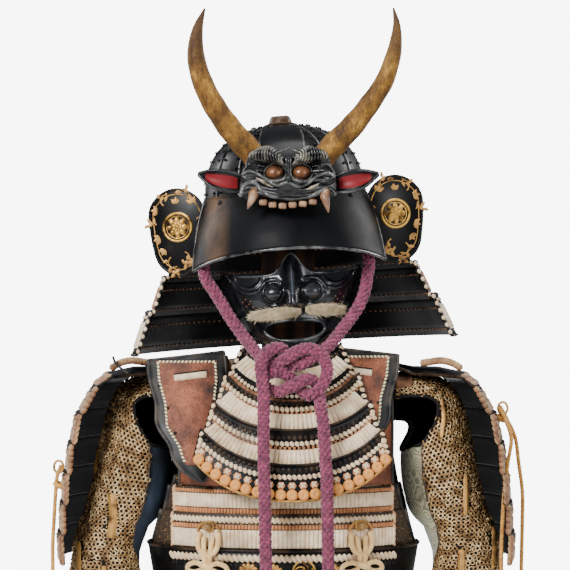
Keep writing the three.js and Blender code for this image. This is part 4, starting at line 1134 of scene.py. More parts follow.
def eye_lids():
    """The raised rolls and lines of the face: round the eyes, over the muzzle, the lip and the bridge."""
    lines = []
    for side in (-1, 1):
        turn = np.linspace(math.radians(-50), math.radians(230), 30)
        lines.append(tube(crest_surface(side * 18.2 + 15.2 * np.cos(turn), 1131 + 12.6 * np.sin(turn), 1.2),
                          1.2, 6))
        lines.append(crest_line([(side * 33, 1140), (side * 41, 1141.5), (side * 43.5, 1135),
                                 (side * 39, 1129)], 1.1))
        lines.append(crest_line([(side * 46, 1143), (side * 55, 1143.5), (side * 62, 1135),
                                 (side * 64, 1129)], 1.2))
        lines.append(crest_line([(side * 3.2, 1151), (side * 3.0, 1140), (side * 3.6, 1128)], 1.3, 1.5))
    lines.append(crest_line([(-64.4, 1128), (-56, 1133.4), (-45.5, 1131.4), (-34.9, 1125), (-23.3, 1117.2),
                             (-14.8, 1113.5),
                             (-1.1, 1117), (14.8, 1111.5), (30.6, 1119), (41.2, 1127.1), (54.9, 1131.4),
                             (65, 1126)], 2.5, 0.8, 90))
    lines.append(crest_line([(-31, 1122.4), (-18, 1119.2), (-9, 1120.6), (-1, 1123.5), (9, 1120.2),
                             (20, 1118.6),
                             (32, 1122.6)], 1.5, 0.8, 60))
    lines.append(crest_line([(-66, 1099), (-63.4, 1110.3), (-57, 1117), (-48.6, 1118.2), (-42.3, 1113.5),
                             (-37, 1105.6),
                             (-27.5, 1100.2), (-14.8, 1097), (-1.1, 1095.4), (14.8, 1095.6), (30.6, 1098.2),
                             (44.3, 1105),
                             (54, 1109.5), (61, 1108), (65, 1101)], 3.1, 0.2, 110))
    lines.append(crest_line([(-16, 1159), (-1, 1165.5), (0.5, 1165.5), (15, 1160)], 0.9, 1.2))
    return joined(*lines)


def cheek_fold_highlights():
    """Pale tapered tubes beside the nose: painted highlights on the cheek folds."""
    fold_highlights = []
    for points in ([(-45, 1124.5), (-38, 1120.5), (-30, 1115.5), (-21, 1111)],
                   [(24.5, 1107.5), (31, 1110), (37, 1113), (42.5, 1116.4)]):
        line = curve_through([(x, 0, z) for x, z in points], 20)
        fold_highlights.append(tube(crest_surface(line[:, 0], line[:, 2], 1.4),
                          np.interp(np.linspace(0, 1, 20), [0, 0.45, 1], [0.5, 2.5, 0.6]), 8))
    return joined(*fold_highlights)


def teeth():
    blocks = []
    for x, z in ((-34.9, 1090.2), (-21.7, 1087), (-8, 1085.4), (5.8, 1086.6), (20, 1088), (33.7, 1091)):
        y = CREST_BACK - 22 - 11 * float(bell(x, 0, 40))
        turn = np.linspace(0, 2 * math.pi, 16, endpoint=False)
        square = np.sign(np.cos(turn)) * np.abs(np.cos(turn)) ** 0.5, np.sign(np.sin(turn)) * np.abs(np.sin(turn)) ** 0.5
        grid = np.array([np.stack([CREST_X + x + a * 5.6 * square[0], np.full(16, y - b),
                                   z + a * 4.2 * square[1]], axis=1)
                         for a, b in ((1.02, -5), (1.0, 1.5), (0.86, 3.6), (0.5, 4.8), (0.05, 5.0))])
        points, faces = sheet_of(grid, closed=True)
        blocks.append((points, faces))
    return joined(*blocks)


def fangs():
    cones = []
    for x, tip_x, tip_z in ((-48.6, -56.6, 1080.7), (50, 55.6, 1076)):
        line = curve_through([(CREST_X + x + 2, -168, 1107), (CREST_X + x, -178, 1100),
                              (CREST_X + x * 0.6 + tip_x * 0.4, -182, 1091),
                              (CREST_X + tip_x, -179, tip_z)], 16)
        cones.append(tube(line, np.interp(np.linspace(0, 1, 16), [0, 0.3, 0.75, 1], [7.4, 7.2, 3.8, 0.7]),
                          14))
    return joined(*cones)


HORNS = {
    "left": [(-32.8, -148, 1132.3, 15.5), (-48.2, -150, 1155.5, 16.6), (-72.4, -155, 1182.5, 16.4),
             (-92.6, -160, 1210.5, 15.5), (-107.1, -164, 1236.5, 14.6), (-116.8, -166, 1262.6, 13.4),
             (-121.2, -167, 1289.6, 11.4), (-118.2, -166, 1319.5, 7.4), (-109.0, -164, 1346.6, 1.2)],
    "right": [(43.4, -148, 1136.2, 15.5), (59.3, -150, 1159.3, 16.6), (88.8, -155, 1189.3, 16),
             (112.9, -160, 1220.1, 14.6), (131.2, -164, 1248.1, 13.4), (140.9, -166, 1274.2, 12.2),
             (146.2, -167, 1296.4, 10.2), (148.1, -166, 1323.4, 6.2), (143.8, -164, 1347.5, 1.2)],
}


def horns():
    for side, rows in HORNS.items():
        rows = np.array(rows, float)
        line = curve_through(rows[:, :3], 70)
        reach = np.linspace(0, 1, 70)
        radius = smooth_between(reach * (len(rows) - 1), list(zip(range(len(rows)), rows[:, 3])))
        knurl = 1 + 0.022 * np.sin(reach * 46) * bell(reach, 0.35, 0.3)
        piece(f"horn_shell_{side}", tube(line, np.maximum(radius * knurl, 0.8), 32), HORN,
              [f"horn_{side}"])


EAR_ROWS = [(58, 1115, 9, -150), (66, 1117, 11, -153), (78, 1119, 14, -157), (92, 1121, 14.5, -159),
            (106, 1124, 11.5, -157), (118, 1128, 5.5, -153), (126, 1131, 0.6, -149)]


def ear(side):
    rows = np.array(EAR_ROWS, float)
    t = np.linspace(0, 1, 30)
    table = [smooth_between(t, list(zip(np.linspace(0, 1, len(rows)), rows[:, k]))) for k in range(4)]
    share = np.linspace(-1, 1, 15)
    cup = 7.5 * (1 - share ** 2)
    x, z, half, y = table
    deep = np.minimum(1, half / 10)
    grid = np.stack([np.stack([CREST_X + x, y + c * deep, z + half * s], axis=1) for s, c in zip(share, cup)])
    shell = wall(grid, 3.0)
    inner = np.stack([np.stack([CREST_X + x, y + c * deep - 0.5, z + half * s], axis=1)
                      for s, c in zip(share * 0.6, 7.5 * (1 - (share * 0.6) ** 2))])[:, 7:24]
    rim = [tube(grid[k], 1.5, 7) for k in (0, -1)]
    meshes = [shell, sheet_of(inner), joined(*rim)]
    if side < 0:
        meshes = [across_of(m, CREST_X) for m in meshes]
    name = "right" if side > 0 else "left"
    piece(f"ear_shell_{name}", [crest_fit(m) for m in meshes], [SLATE_BLACK, RED, SLATE_BLACK],
          [f"ear_{name}"])


helmet_bowl()
top_fitting()
visor()
neck_guard()
flap(1)
flap(-1)
crest_face()
horns()
ear(1)
ear(-1)


# ---- mask ----
MASK_X, MASK_Y, MASK_REACH = 3.0, -24.0, 82.0
MASK_WIDTH = [(884, 58), (905, 74), (935, 88), (970, 97), (1020, 101)]
MASK_DEPTH = [(884, 92), (905, 101), (935, 101), (970, 98), (1020, 96)]
MOUTH_HALF, MOUTH_LOW, MOUTH_TOP = 41.0, 900.0, 928.0


def mask_relief(x, z):
    away = np.abs(x)
    tip = np.where(z > 951, bell(z, 951, 46), bell(z, 951, 10))
    nose = 36 * tip * bell(away, 0, np.where(z > 975, 8.5, 11.5))
    ball = np.hypot(away - 25.5, z - 967)
    boss = 14 * np.sqrt(np.clip(1 - (ball / 12.5) ** 2, 0, 1)) - 2.5 * bell(ball, 14.2, 1.6)
    arch = 3.2 * bell(ball, 17.5, 1.7) * np.clip((z - 962) / 8, 0, 1)
    cheek = 12 * bell(away, 52, 22) * bell(z, 962, 20)
    eye = np.hypot(away - 58, (z - 990) * 1.1)
    folds = (3.0 * bell(eye, 17.5, 1.7) + 2.6 * bell(eye, 24, 1.8)) * np.clip((992 - z) / 8, 0, 1)
    side = 3.4 * bell(away, 84 - (985 - z) * 0.5, 3.2) * np.clip((z - 925) / 15, 0, 1)
    lips = 6 * bell(z, 913, 22) * bell(away, 0, 48) + 5 * bell(z, 890, 9) * bell(away, 0, 30)
    return nose + boss + arch + cheek + folds + side + lips


def mask_point(turn, z, out=0.0):
    turn = np.asarray(turn, float)
    flat = on_ellipse(MASK_X, smooth_between(z, MASK_WIDTH), smooth_between(z, MASK_DEPTH), turn, z, MASK_Y)
    relief = mask_relief(flat[..., 0] - MASK_X, z)
    lean = np.radians(turn)
    flat[..., 0] += (relief * 0.35 + out) * np.sin(lean)
    flat[..., 1] -= (relief + out) * np.cos(lean)
    return flat


def mask_top(turn):
    return 990 + 29 * bell(turn, 0, 9) + 8 * bell(np.abs(turn), 80, 25)


def mask_low(turn):
    return 886 + 44 * np.abs(np.sin(np.radians(turn))) ** 3


def mouth_line(out=0.0):
    """The edge of the open mouth, as turns and heights."""
    angle = np.linspace(0, 2 * math.pi, 72, endpoint=False)
    x = MOUTH_HALF * np.sign(np.cos(angle)) * np.abs(np.cos(angle)) ** 0.7
    z = (MOUTH_LOW + MOUTH_TOP) / 2 + (MOUTH_TOP
        - MOUTH_LOW) / 2 * np.sign(np.sin(angle)) * np.abs(np.sin(angle)) ** 0.7
    z += 5 * (x / MOUTH_HALF) ** 2 * (z < 914)
    turn = np.degrees(np.arcsin(np.clip(x / smooth_between(z, MASK_WIDTH), -0.98, 0.98)))
    return mask_point(turn, z, out)


def mask():
    rows, columns = 80, 124
    turn = np.linspace(-MASK_REACH, MASK_REACH, columns)[None, :]
    t = np.linspace(0, 1, rows)[:, None]
    z = mask_low(turn) + (mask_top(turn) - mask_low(turn)) * t
    grid = mask_point(turn + 0 * z, z)
    x_middle = grid[..., 0] - MASK_X
    round_half = (MOUTH_TOP - MOUTH_LOW) / 2
    inside = (np.abs(x_middle / MOUTH_HALF) ** 2.6
              + np.abs((z - 914 - 2 * (x_middle / MOUTH_HALF) ** 2) / round_half) ** 2.6) < 1
    shell = wall(grid, 2.2, skip=inside[:-1, :-1] & inside[1:, 1:])
    lip = tube(mouth_line(-0.6), 2.5, 8, closed=True)
    edge_turn = np.linspace(-MASK_REACH, MASK_REACH, 90)
    brim = tube(mask_point(edge_turn, mask_top(edge_turn), -0.8), 1.7, 6)
    chin = tube(mask_point(edge_turn, mask_low(edge_turn), -0.8), 1.9, 6)
    # Painted highlight along the nose ridge.
    nose_highlight_line = tube(mask_point(np.zeros(16), np.linspace(1004, 962, 16), 0.2), np.linspace(0.5, 1.2, 16), 6)
    dots, across, up = [], [], []
    for side in (-1, 1):
        for turned, height in [(35, 949), (38.5, 953), (36, 957), (42, 950), (45, 956), (41, 960)]:
            dots.append(mask_point(side * turned, float(height), 0.2))
            across.append((math.cos(math.radians(side * turned)), math.sin(math.radians(side * turned)), 0))
            up.append((0, 0, 1.0))
    rivets = stamp(scaled(BEAD, 2.6, 2.6, 1.0), np.array(dots), across, up)
    pegs = []
    for turned, height in ((-61, 934), (62, 942)):
        base = mask_point(turned, float(height))
        tip = mask_point(turned, float(height), 11)
        pegs.append(tube(np.array([base, base * 0.2 + tip * 0.8, tip]), [3.2, 3.2, 4.2], 10))
    piece("mask_shell", [tilt(m) for m in (shell, lip, brim, chin, nose_highlight_line, rivets, *pegs)],
          [MASK_BLACK, MASK_BLACK, MASK_BLACK, MASK_BLACK, NOSE_HIGHLIGHT, COPPER, MASK_BLACK, MASK_BLACK],
          ["mask"])


def hairs(roots, directions, lengths, width, fall, seed):
    """Fine tapering hairs, each a three-sided curve."""
    luck = np.random.default_rng(seed)
    count = len(roots)
    t = np.array([0, 0.5, 1.0])
    side = unit(np.cross(directions, luck.normal(size=(count, 3))))
    other = np.cross(directions, side)
    line = (roots[:, None] + directions[:, None] * (lengths[:, None] * t)[..., None]
            + side[:, None] * (luck.normal(0, 0.9, (count, 1)) * t ** 2)[..., None])
    line[..., 2] -= fall * lengths[:, None] * t ** 2
    thick = width * np.array([1.0, 0.8, 0.1])
    ring = [(math.cos(a), math.sin(a)) for a in (0, 2.09, 4.19)]
    points = np.stack([line + thick[None, :, None] * (c * side[:, None] + s * other[:, None]) for c,
                       s in ring], axis=2)
    cell = [(i * 3 + k, i * 3 + (k + 1) % 3, (i + 1) * 3 + (k + 1) % 3, (i + 1) * 3 + k) for i in range(2)
            for k in range(3)]
    faces = (np.array(cell)[None] + (np.arange(count) * 9)[:, None, None]).reshape(-1, 4).tolist()
    return points.reshape(-1, 3), faces


def tuft_place(left, u, v):
    """The turn and height of a place on a tuft: `u` runs outward and `v` up, both 0 to 1."""
    turn = np.where(left, 6 - 44 * u, 9.5 + 35 * u)
    full = np.sin(math.pi * np.clip(0.08 + 0.86 * u, 0, 1)) ** 0.45
    middle = np.where(left, 939.5, 941.5) - 4.5 * (np.abs(turn) / 46) ** 2
    return turn, middle + (v - 0.5) * 14 * full


def moustache():
    """Two blunt tufts of pale fur, the left one reaching in under the nose."""
    luck = np.random.default_rng(5)
    count = 3200
    left = luck.uniform(0, 1, count) < 0.56
    turn, height = tuft_place(left, luck.uniform(0, 1, count), luck.uniform(0, 1, count))
    roots = mask_point(turn, height, 0.4)
    lean = np.radians(turn)
    out = np.stack([np.sin(lean), -np.cos(lean), 0 * lean], axis=1)
    aside = np.stack([np.cos(lean), np.sin(lean), 0 * lean], axis=1) * np.where(left, -1, 1)[:, None]
    way = unit(out * luck.uniform(0.35, 0.8, (count, 1)) + aside * luck.uniform(0.3, 1.1, (count, 1))
               + np.array([0, 0, -1.0]) * luck.uniform(-0.25, 0.5, (count, 1))
               + luck.normal(0, 0.2, (count, 3)))
    fur = hairs(roots, way, luck.uniform(5, 11.5, count), 0.36, 0.1, 6)
    pads = []
    for is_left in (True, False):
        u = np.linspace(0, 1, 26)
        grid = np.stack([mask_point(*tuft_place(is_left, u, np.full(26, v)),
                                    0.5 + 3.4 * math.sin(math.pi * v))
                         for v in np.linspace(0, 1, 8)])
        pads.append(sheet_of(grid[:, ::-1] if is_left else grid))
    piece("moustache_fur", [tilt(m) for m in (fur, *pads)], FUR, ["moustache"])


# ---- throat guard ----
THROAT_X = 8.0
THROAT = [(874, 896, 68, -114, -74), (813, 852, 88, -140, -98), (777, 815, 104, -152, -117),
          (731, 778, 120, -166, -137), (687, 742, 134, -176, -149)]


def throat_edge(row, out=0.0, up=0.0, lift=0.0):
    mid_z, side_z, half, mid_y, side_y = row

    def points(u):
        share = 2 * np.asarray(u, float) - 1
        rise = 0.6 * share ** 2 + 0.4 * share ** 4
        y = mid_y + (side_y - mid_y) * share ** 2
        return np.stack([THROAT_X + (half + out * np.abs(share)) * share, y - out - lift,
                         mid_z + (side_z - mid_z) * rise + up], axis=-1)
    return points


def throat_band(number, lift=0.0):
    low = throat_edge(THROAT[number], lift=lift)
    first = number == 1
    return Band(low, throat_edge(THROAT[number - 1], 0 if first else 4, 0 if first else 4, lift))


def border(band, radius=1.6, count=80):
    u = np.linspace(0, 1, count)
    low, top = band.at(u, np.zeros(count)), band.at(u, np.ones(count))
    return tube(low, radius, 6), tube(top, radius, 6)


def throat_guard():
    for number in (1, 2, 3, 4):
        band = throat_band(number)
        shell = wall(band.grid(60, np.linspace(0, 1, 5)), 3.0)
        low_rim, top_rim = border(band, 1.7)
        meshes, looks = [shell, low_rim, top_rim], [BLACK, GOLD_DULL if number in (1, 4) else BLACK,
                                                    BLACK_WORN]
        if number == 1:
            meshes += [row_of(band, BEAD, 0.86, 8.4, (7.6, 9, 2.2), 3),
                       strands(band, 0.36, 0.78, 7.2, high=2.6, margin=3),
                       twists(band, 0.2, 6.6, 6.4, margin=3),
                       strands(band, 0.05, 0.13, 8, high=1.6, margin=3)]
            looks += [BLACK_WORN, CREAM, CREAM_ROUND, BROWN]
        elif number < 4:
            twist = 0.78 if number == 2 else 0.63
            meshes += [row_of(band, BEAD, twist + 0.16, 7.6, (6.8, 8, 2.0), 3),
                       twists(band, twist, 6.8, 8.5, 0.62, 2.6, 34, 2),
                       crosses(band, twist - 0.115, 6.4, 6.0, 1.8, 3),
                       strands(band, 0.05, twist - 0.16, 6.3, 0.96, 2.8, 2)]
            looks += [BLACK_WORN, CREAM_ROUND, ORANGE, CREAM]
        else:
            meshes += [row_of(band, BEAD, 0.86, 7.8, (6.8, 8, 2.0), 3),
                       twists(band, 0.66, 6.8, 8.5, 0.62, 2.6, 34, 2),
                       row_of(band, BEAD, 0.425, 15.2, (12, 11, 1.6), 4),
                       crosses(band, 0.425, 15.2, 11.5, 3.0, 4, 0.8),
                       row_of(band, KNOB, 0.165, 15.4, (15.2, 15.2, 6.5), 3)]
            looks += [BLACK_WORN, CREAM_ROUND, ORANGE, CREAM, GOLD_ORANGE]
        for u in (0.012, 0.988):
            v = np.linspace(0.12, 0.9, 5)
            here, across, up = band.frames(np.full(5, u), v)
            meshes.append(stamp(rotated(scaled(BEAD, 6.5, 8.5, 2.6), 28), here, across, up))
            looks.append(CREAM_ROUND)
        piece(f"throat_lame_{number}", meshes, looks, [f"throat_guard_{number}"])


GOLD_ORANGE = plain("knob_orange", linear(206, 140, 70), 0.5)
mask()
moustache()
throat_guard()


def beads_along(line, pitch, size, lean=0.0, normal=(0, -1.0, 0), template=BEAD):
    """Beads or stitches spaced along a line, turned by `lean` degrees from its run."""
    line = np.asarray(line, float)
    reach = np.concatenate([[0], np.cumsum(np.linalg.norm(np.diff(line, axis=0), axis=1))])
    count = max(1, round(reach[-1] / pitch))
    wanted = (np.arange(count) + 0.5) * reach[-1] / count
    here = np.stack([np.interp(wanted, reach, line[:, k]) for k in range(3)], axis=1)
    ahead = np.stack([np.interp(wanted + 0.5, reach, line[:, k]) for k in range(3)], axis=1)
    behind = np.stack([np.interp(wanted - 0.5, reach, line[:, k]) for k in range(3)], axis=1)
    along = unit(ahead - behind)
    out = np.broadcast_to(np.asarray(normal, float), along.shape)
    across = np.cross(along, out)
    return stamp(rotated(scaled(template, *size), lean), here, across, along)


# ---- leaf plates and straps ----
LEAF_ROWS = [(711, -116, -110), (722, -136, -104), (740, -152, -100), (758, -158, -96), (784, -175, -91),
             (815, -178, -85), (845, -187, -82), (872, -190, -84), (884, -190, -86)]
LEAF_FROM = [(z, a) for z, a, b in LEAF_ROWS]
LEAF_TO = [(z, b) for z, a, b in LEAF_ROWS]


def leaf_at(x, z, out=0.0):
    """The plate's face at a place given by x and z on the left plate."""
    start, end = between(z, LEAF_FROM), between(z, LEAF_TO)
    t = (x - start) / (end - start)
    share = np.clip((z - 711) / 173, 0, 1)
    y = -140 + 77 * share ** 1.3 - 8 * np.sin(math.pi * np.clip(t, 0, 1)) + 6 * t * (1 - share)
    drop = np.clip((z - 872) / 12, 0, 1) * 12 * (1 - t)
    return np.stack(np.broadcast_arrays(x, y - out, z - drop), axis=-1)


def leaf_edge(inset, count=60):
    """The outline moved in by `inset` mm, from the top left down round the point to the top right."""
    z = np.linspace(884 - inset, 711 + inset * 1.9, count)
    left = between(z, LEAF_FROM) + inset * 1.0
    right = between(z, LEAF_TO) - inset
    middle = (left + right) / 2
    return np.minimum(left, middle - 0.2), np.maximum(right, middle + 0.2), z


def leaf_plate(side):
    z = np.linspace(711, 884, 44)
    start, end = smooth_between(z, LEAF_FROM), smooth_between(z, LEAF_TO)
    t = np.linspace(0, 1, 15)
    x = start[:, None] + (end - start)[:, None] * t[None]
    plate = wall(leaf_at(x, z[:, None] + 0 * x), 4.0)
    rim = tube(np.concatenate([leaf_at(start[::-1], z[::-1], -1.6), leaf_at(end, z, -1.6)]), 2.3, 7)
    brim = tube(leaf_at(np.linspace(-190, -86, 12), np.full(12, 884.0), -1.6), 2.3, 7)
    left, right, heights = leaf_edge(11.5)
    share = np.linspace(0, 1, 15)
    x = left[:, None] + (right - left)[:, None] * share[None]
    swell = 0.5 + 1.3 * np.minimum(1, 6 * np.minimum(share, 1 - share))[None] + 0 * x
    panel = sheet_of(leaf_at(x, heights[:, None] + 0 * x, swell)[::-1])
    left, right, heights = leaf_edge(13.5)
    down = leaf_at(left, heights, 1.6)
    up = leaf_at(right[::-1], heights[::-1], 1.6)
    across_top = leaf_at(np.linspace(right[0], left[0], 10), np.full(10, heights[0]), 1.6)
    stitches = joined(*(beads_along(line, 5.4, (3.4, 5.0, 2.2), 38) for line in (down, up, across_top)))
    slot_x = np.linspace(-153, -109, 12)
    slot_z = 851 + 0.12 * (slot_x + 131)
    hole = tube(leaf_at(slot_x, slot_z, 0.9), 6.6, 8, flat=0.3, normal=(0, -1.0, 0))
    cord = tube(leaf_at(slot_x, slot_z, 2.6), 4.6, 10, flat=0.7, normal=(0, -1.0, 0))
    dots = [(-173, 838), (-161, 808), (-150, 775), (-97, 838), (-94, 812)]
    holes = stamp(scaled(BEAD, 5.4, 5.4, 1.2),
                  np.array([leaf_at(np.array(a * 1.0), np.array(b * 1.0), 1.4) for a, b in dots]),
                  [(1.0, 0, 0)] * len(dots), [(0, 0, 1.0)] * len(dots))
    meshes = [plate, rim, brim, panel, stitches, hole, cord, holes]
    looks = [SLATE, SLATE, SLATE, LEATHER, STITCH, CLOTH_DARK, CREAM, CLOTH_DARK]
    if side > 0:
        meshes = [across_of(m, -138.5) for m in meshes]
        meshes = [(m[0] + np.array([241.5, 4, 7.0]), m[1]) for m in meshes]
    name = "right" if side > 0 else "left"
    piece(f"leaf_plate_{name}", meshes, looks, [f"leaf_{name}"])


TORSO_X = -4.0
STRAP_ROWS = [(-112, 703, 0), (-108, 760, 0.2), (-80, 812, 0.6), (-54, 854, 0.9), (-22, 881.4, 1),
              (22, 881.4, 1),
              (62, 876, 0.9), (96, 862, 0.5), (116, 841, 0)]


def beam_top(x):
    return 878 - 40 * (np.abs(x) / 206) ** 2


def strap(side):
    x = np.linspace(84, 146, 9) * side
    if side < 0:
        x = x[::-1]
    rows = np.array(STRAP_ROWS, float)
    share = np.linspace(0, 1, len(rows))
    grid = []
    for t in np.linspace(0, 1, 41):
        y, z, slope = (float(np.interp(t, share, rows[:, k])) for k in range(3))
        back = 10 * ((x - x[0]) / (x[-1] - x[0]) - 0.5) * side if y > 90 else 0
        chest = -134 * np.sqrt(1 - ((x - TORSO_X) / 186) ** 2)
        hug = min(1, max(0, (840 - z) / 80))
        grid.append(np.stack([x, (y - back) * (1 - hug) + chest * hug, z - slope * (878 - beam_top(x))],
                             axis=1))
    grid = np.array(grid)
    rims = [tube(grid[:, k], 2.2, 7) for k in (0, -1)]
    name = "right" if side > 0 else "left"
    piece(f"strap_shell_{name}", [wall(grid, 3.0), *rims], [LEATHER, SLATE, SLATE],
          [f"strap_{name}"])


# ---- cuirass ----
FRONT = [(616, 186, 132, 79), (662, 183, 131, 64), (697, 180, 129, 58), (714, 178, 127, 56)]
BACK = [(616, 186, 132, 79), (690, 184, 131, 62), (765, 178, 126, 55), (846, 168, 108, 52)]
RINGS = [(346, 158, 118), (416, 154, 112), (486, 165, 118), (556, 180, 127), (612, 186, 132)]
LACED_REACH = 55.0


def torso_edge(row, grow=0.0, up=0.0, reach=None, middle=0.0):
    z, width, depth = row[:3]
    reach = row[3] if reach is None else reach

    def points(u):
        turn = middle - reach + 2 * reach * np.asarray(u, float)
        return on_ellipse(TORSO_X, width + grow, depth + grow, turn, z + up)
    return points


def torso_band(low, top, grow=4.0, up=4.0, reach=None, middle=0.0, lift=0.0):
    return Band(torso_edge(low, lift, 0, reach, middle), torso_edge(top, grow + lift, up, reach, middle))


def lame_body(band, columns, thickness=3.0, rim=2.0, closed=False):
    shell = wall(band.grid(columns, np.linspace(0, 1, 5)) if not closed
                 else band.grid(columns, np.linspace(0, 1, 5))[:, :-1], thickness, closed=closed)
    low, top = border(band, rim, columns + 1)
    return shell, low, top


def side_rims(band, radius=3.0):
    v = np.linspace(0, 1, 6)
    return [tube(band.at(np.full(6, u), v), radius, 8) for u in (0.0, 1.0)]


def front_lames():
    upper = torso_band(FRONT[1], FRONT[2])
    laced = torso_band(FRONT[1], FRONT[2], reach=LACED_REACH, lift=0.6)
    shell, low, _ = lame_body(upper, 70)
    meshes = [shell, low, *side_rims(upper), strands(laced, 0.81, 0.93, 4.3, 0.8, 1.6),
              strands(laced, 0.3, 0.78, 6.0, 0.97, 2.6), strands(laced, 0.02, 0.27, 4.6, 0.82, 2.0)]
    looks = [FLECKED, BLACK, SLATE, SLATE, ORANGE, CREAM, ORANGE]
    piece("front_laced_upper", meshes + edge_ties(laced), looks + [ORANGE_PALE] * 2,
          ["front_lame_1"])
    lower = torso_band(FRONT[0], FRONT[1])
    laced = torso_band(FRONT[0], FRONT[1], reach=LACED_REACH, lift=0.6)
    shell, low, _ = lame_body(lower, 80)
    meshes = [shell, low, *side_rims(lower), twists(laced, 0.83, 6.4, 11.5, 0.66, 3.0, 36),
              strands(laced, 0.58, 0.7, 4.6, 0.82, 1.8), strands(laced, 0.07, 0.56, 6.0, 0.97, 2.6)]
    looks = [FLECKED, BLACK, SLATE, SLATE, CREAM_ROUND, ORANGE, CREAM]
    piece("front_laced_lower", meshes + edge_ties(laced), looks + [ORANGE_PALE] * 2,
          ["front_lame_2"])


def edge_ties(band):
    """Slanting ties that bind the ends of the laced rows."""
    ties = []
    for u, lean in ((0.006, -24), (0.994, 24)):
        v = np.linspace(0.1, 0.9, 6)
        here, across, up = band.frames(np.full(6, u), v)
        ties.append(stamp(rotated(scaled(BEAD, 4.6, 11, 2.8), lean), here, across, up))
    return ties


def chest_plate():
    band = torso_band(FRONT[2], FRONT[3], 0, 0)
    shell, low, top = lame_body(band, 70)
    face = torso_band(FRONT[2], FRONT[3], 0, 0, reach=LACED_REACH, lift=0.4)
    turns = np.array([0.012, 0.052, 0.2, 0.24, 0.46, 0.54, 0.76, 0.8, 0.948, 0.988])
    here, across, up = face.frames(turns, np.full(10, 0.52))
    studs = stamp(scaled(STUD, 10, 10, 4.5), here, across, up)
    washers = stamp(scaled(BEAD, 13, 13, 1.4), here, across, up)
    piece("chest_gilt", [shell, low, top, *side_rims(band), washers, studs],
          [PLATE, GOLD_DULL, SLATE, SLATE, SLATE, GOLD_DULL, BLACK_WORN], ["chest_plate"])


def back_parts():
    for number, (low_row, top_row) in enumerate(((BACK[1], BACK[2]), (BACK[0], BACK[1])), 1):
        band = torso_band(low_row, top_row, middle=180)
        laced = torso_band(low_row, top_row, reach=50, middle=180, lift=0.5)
        shell, low, top = lame_body(band, 60)
        meshes = [shell, low, *side_rims(band), strands(laced, 0.04, 0.3, 6.4, 0.96, 2.4),
                  strands(laced, 0.32, 0.4, 5, 0.82, 1.8),
                  twists(laced, 0.47, 6.8, 9, 0.62, 2.6, 36), strands(laced, 0.55, 0.8, 6.4, 0.96, 2.4),
                  strands(laced, 0.82, 0.9, 5, 0.82, 1.8)]
        looks = [FLECKED, BLACK, SLATE, SLATE, CREAM, ORANGE, CREAM_ROUND, CREAM, ORANGE]
        piece(f"back_laced_{number}", meshes, looks, [f"back_lame_{number}"])
    plate = torso_band(BACK[2], BACK[3], 0, 0, middle=180)
    shell, low, top = lame_body(plate, 60)
    rivets = row_of(plate, STUD, 0.86, 24, (6, 6, 2.4), 12)
    rivets_low = row_of(plate, STUD, 0.1, 24, (6, 6, 2.4), 12)
    piece("back_shell", [shell, low, top, *side_rims(plate), rivets, rivets_low],
          [BLACK, SLATE, SLATE, SLATE, SLATE, GOLD_DULL, GOLD_DULL], ["back_plate"])


def torso_face(x, z, out=0.0):
    """A place on the front of the waist rings from its x and z."""
    widths = [(row[0], row[1]) for row in RINGS]
    depths = [(row[0], row[2]) for row in RINGS]
    turn = np.degrees(np.arcsin(np.clip((x - TORSO_X) / (between(z, widths) + 3), -0.99, 0.99)))
    return on_ellipse(TORSO_X, between(z, widths) + 3 + out, between(z, depths) + 3 + out, turn, z)


def gilt_round(x, z, radius, petals=0, high=2.4):
    """A generic pierced round fitting: a rim, scrolls or petals, and a boss."""
    turn = np.linspace(0, 2 * math.pi, 40, endpoint=False)
    parts = [tube(torso_face(x + radius * np.cos(turn), z + radius * np.sin(turn), 1.2), 1.5, 6, closed=True)]
    for k in range(petals):
        a = 2 * math.pi * k / petals
        curl = a + np.linspace(0, 3.4, 12)
        reach = radius * np.linspace(0.25, 0.82, 12)
        parts.append(tube(torso_face(x + reach * np.cos(curl * 0.5 + a * 0.5),
                                     z + reach * np.sin(curl * 0.5 + a * 0.5), 1.2),
                          np.linspace(1.5, 0.7, 12), 5))
    here = torso_face(np.array([x * 1.0]), np.array([z * 1.0]), 0.6)
    parts.append(stamp(scaled(BEAD, radius * 0.6, radius * 0.6, high), here, [(1.0, 0, 0)], [(0, 0, 1.0)]))
    return joined(*parts)


def gilt_flower(x, z, half_x, half_z):
    """A generic chased plate: overlapping petals inside an oblong."""
    parts = []
    for k in range(12):
        a = 2 * math.pi * k / 12
        here = torso_face(np.array([x + half_x * 0.62 * math.cos(a)]),
                          np.array([z + half_z * 0.6 * math.sin(a)]), 0.6)
        lean = math.degrees(a) - 90
        parts.append(stamp(rotated(scaled(BEAD, half_x * 0.42, half_z * 0.75, 2.2), lean), here,
                           [(1.0, 0, 0)], [(0, 0, 1.0)]))
    here = torso_face(np.array([x * 1.0]), np.array([z * 1.0]), 0.8)
    parts.append(stamp(scaled(BEAD, half_x * 0.7, half_z * 0.7, 3.0), here, [(1.0, 0, 0)], [(0, 0, 1.0)]))
    return joined(*parts)


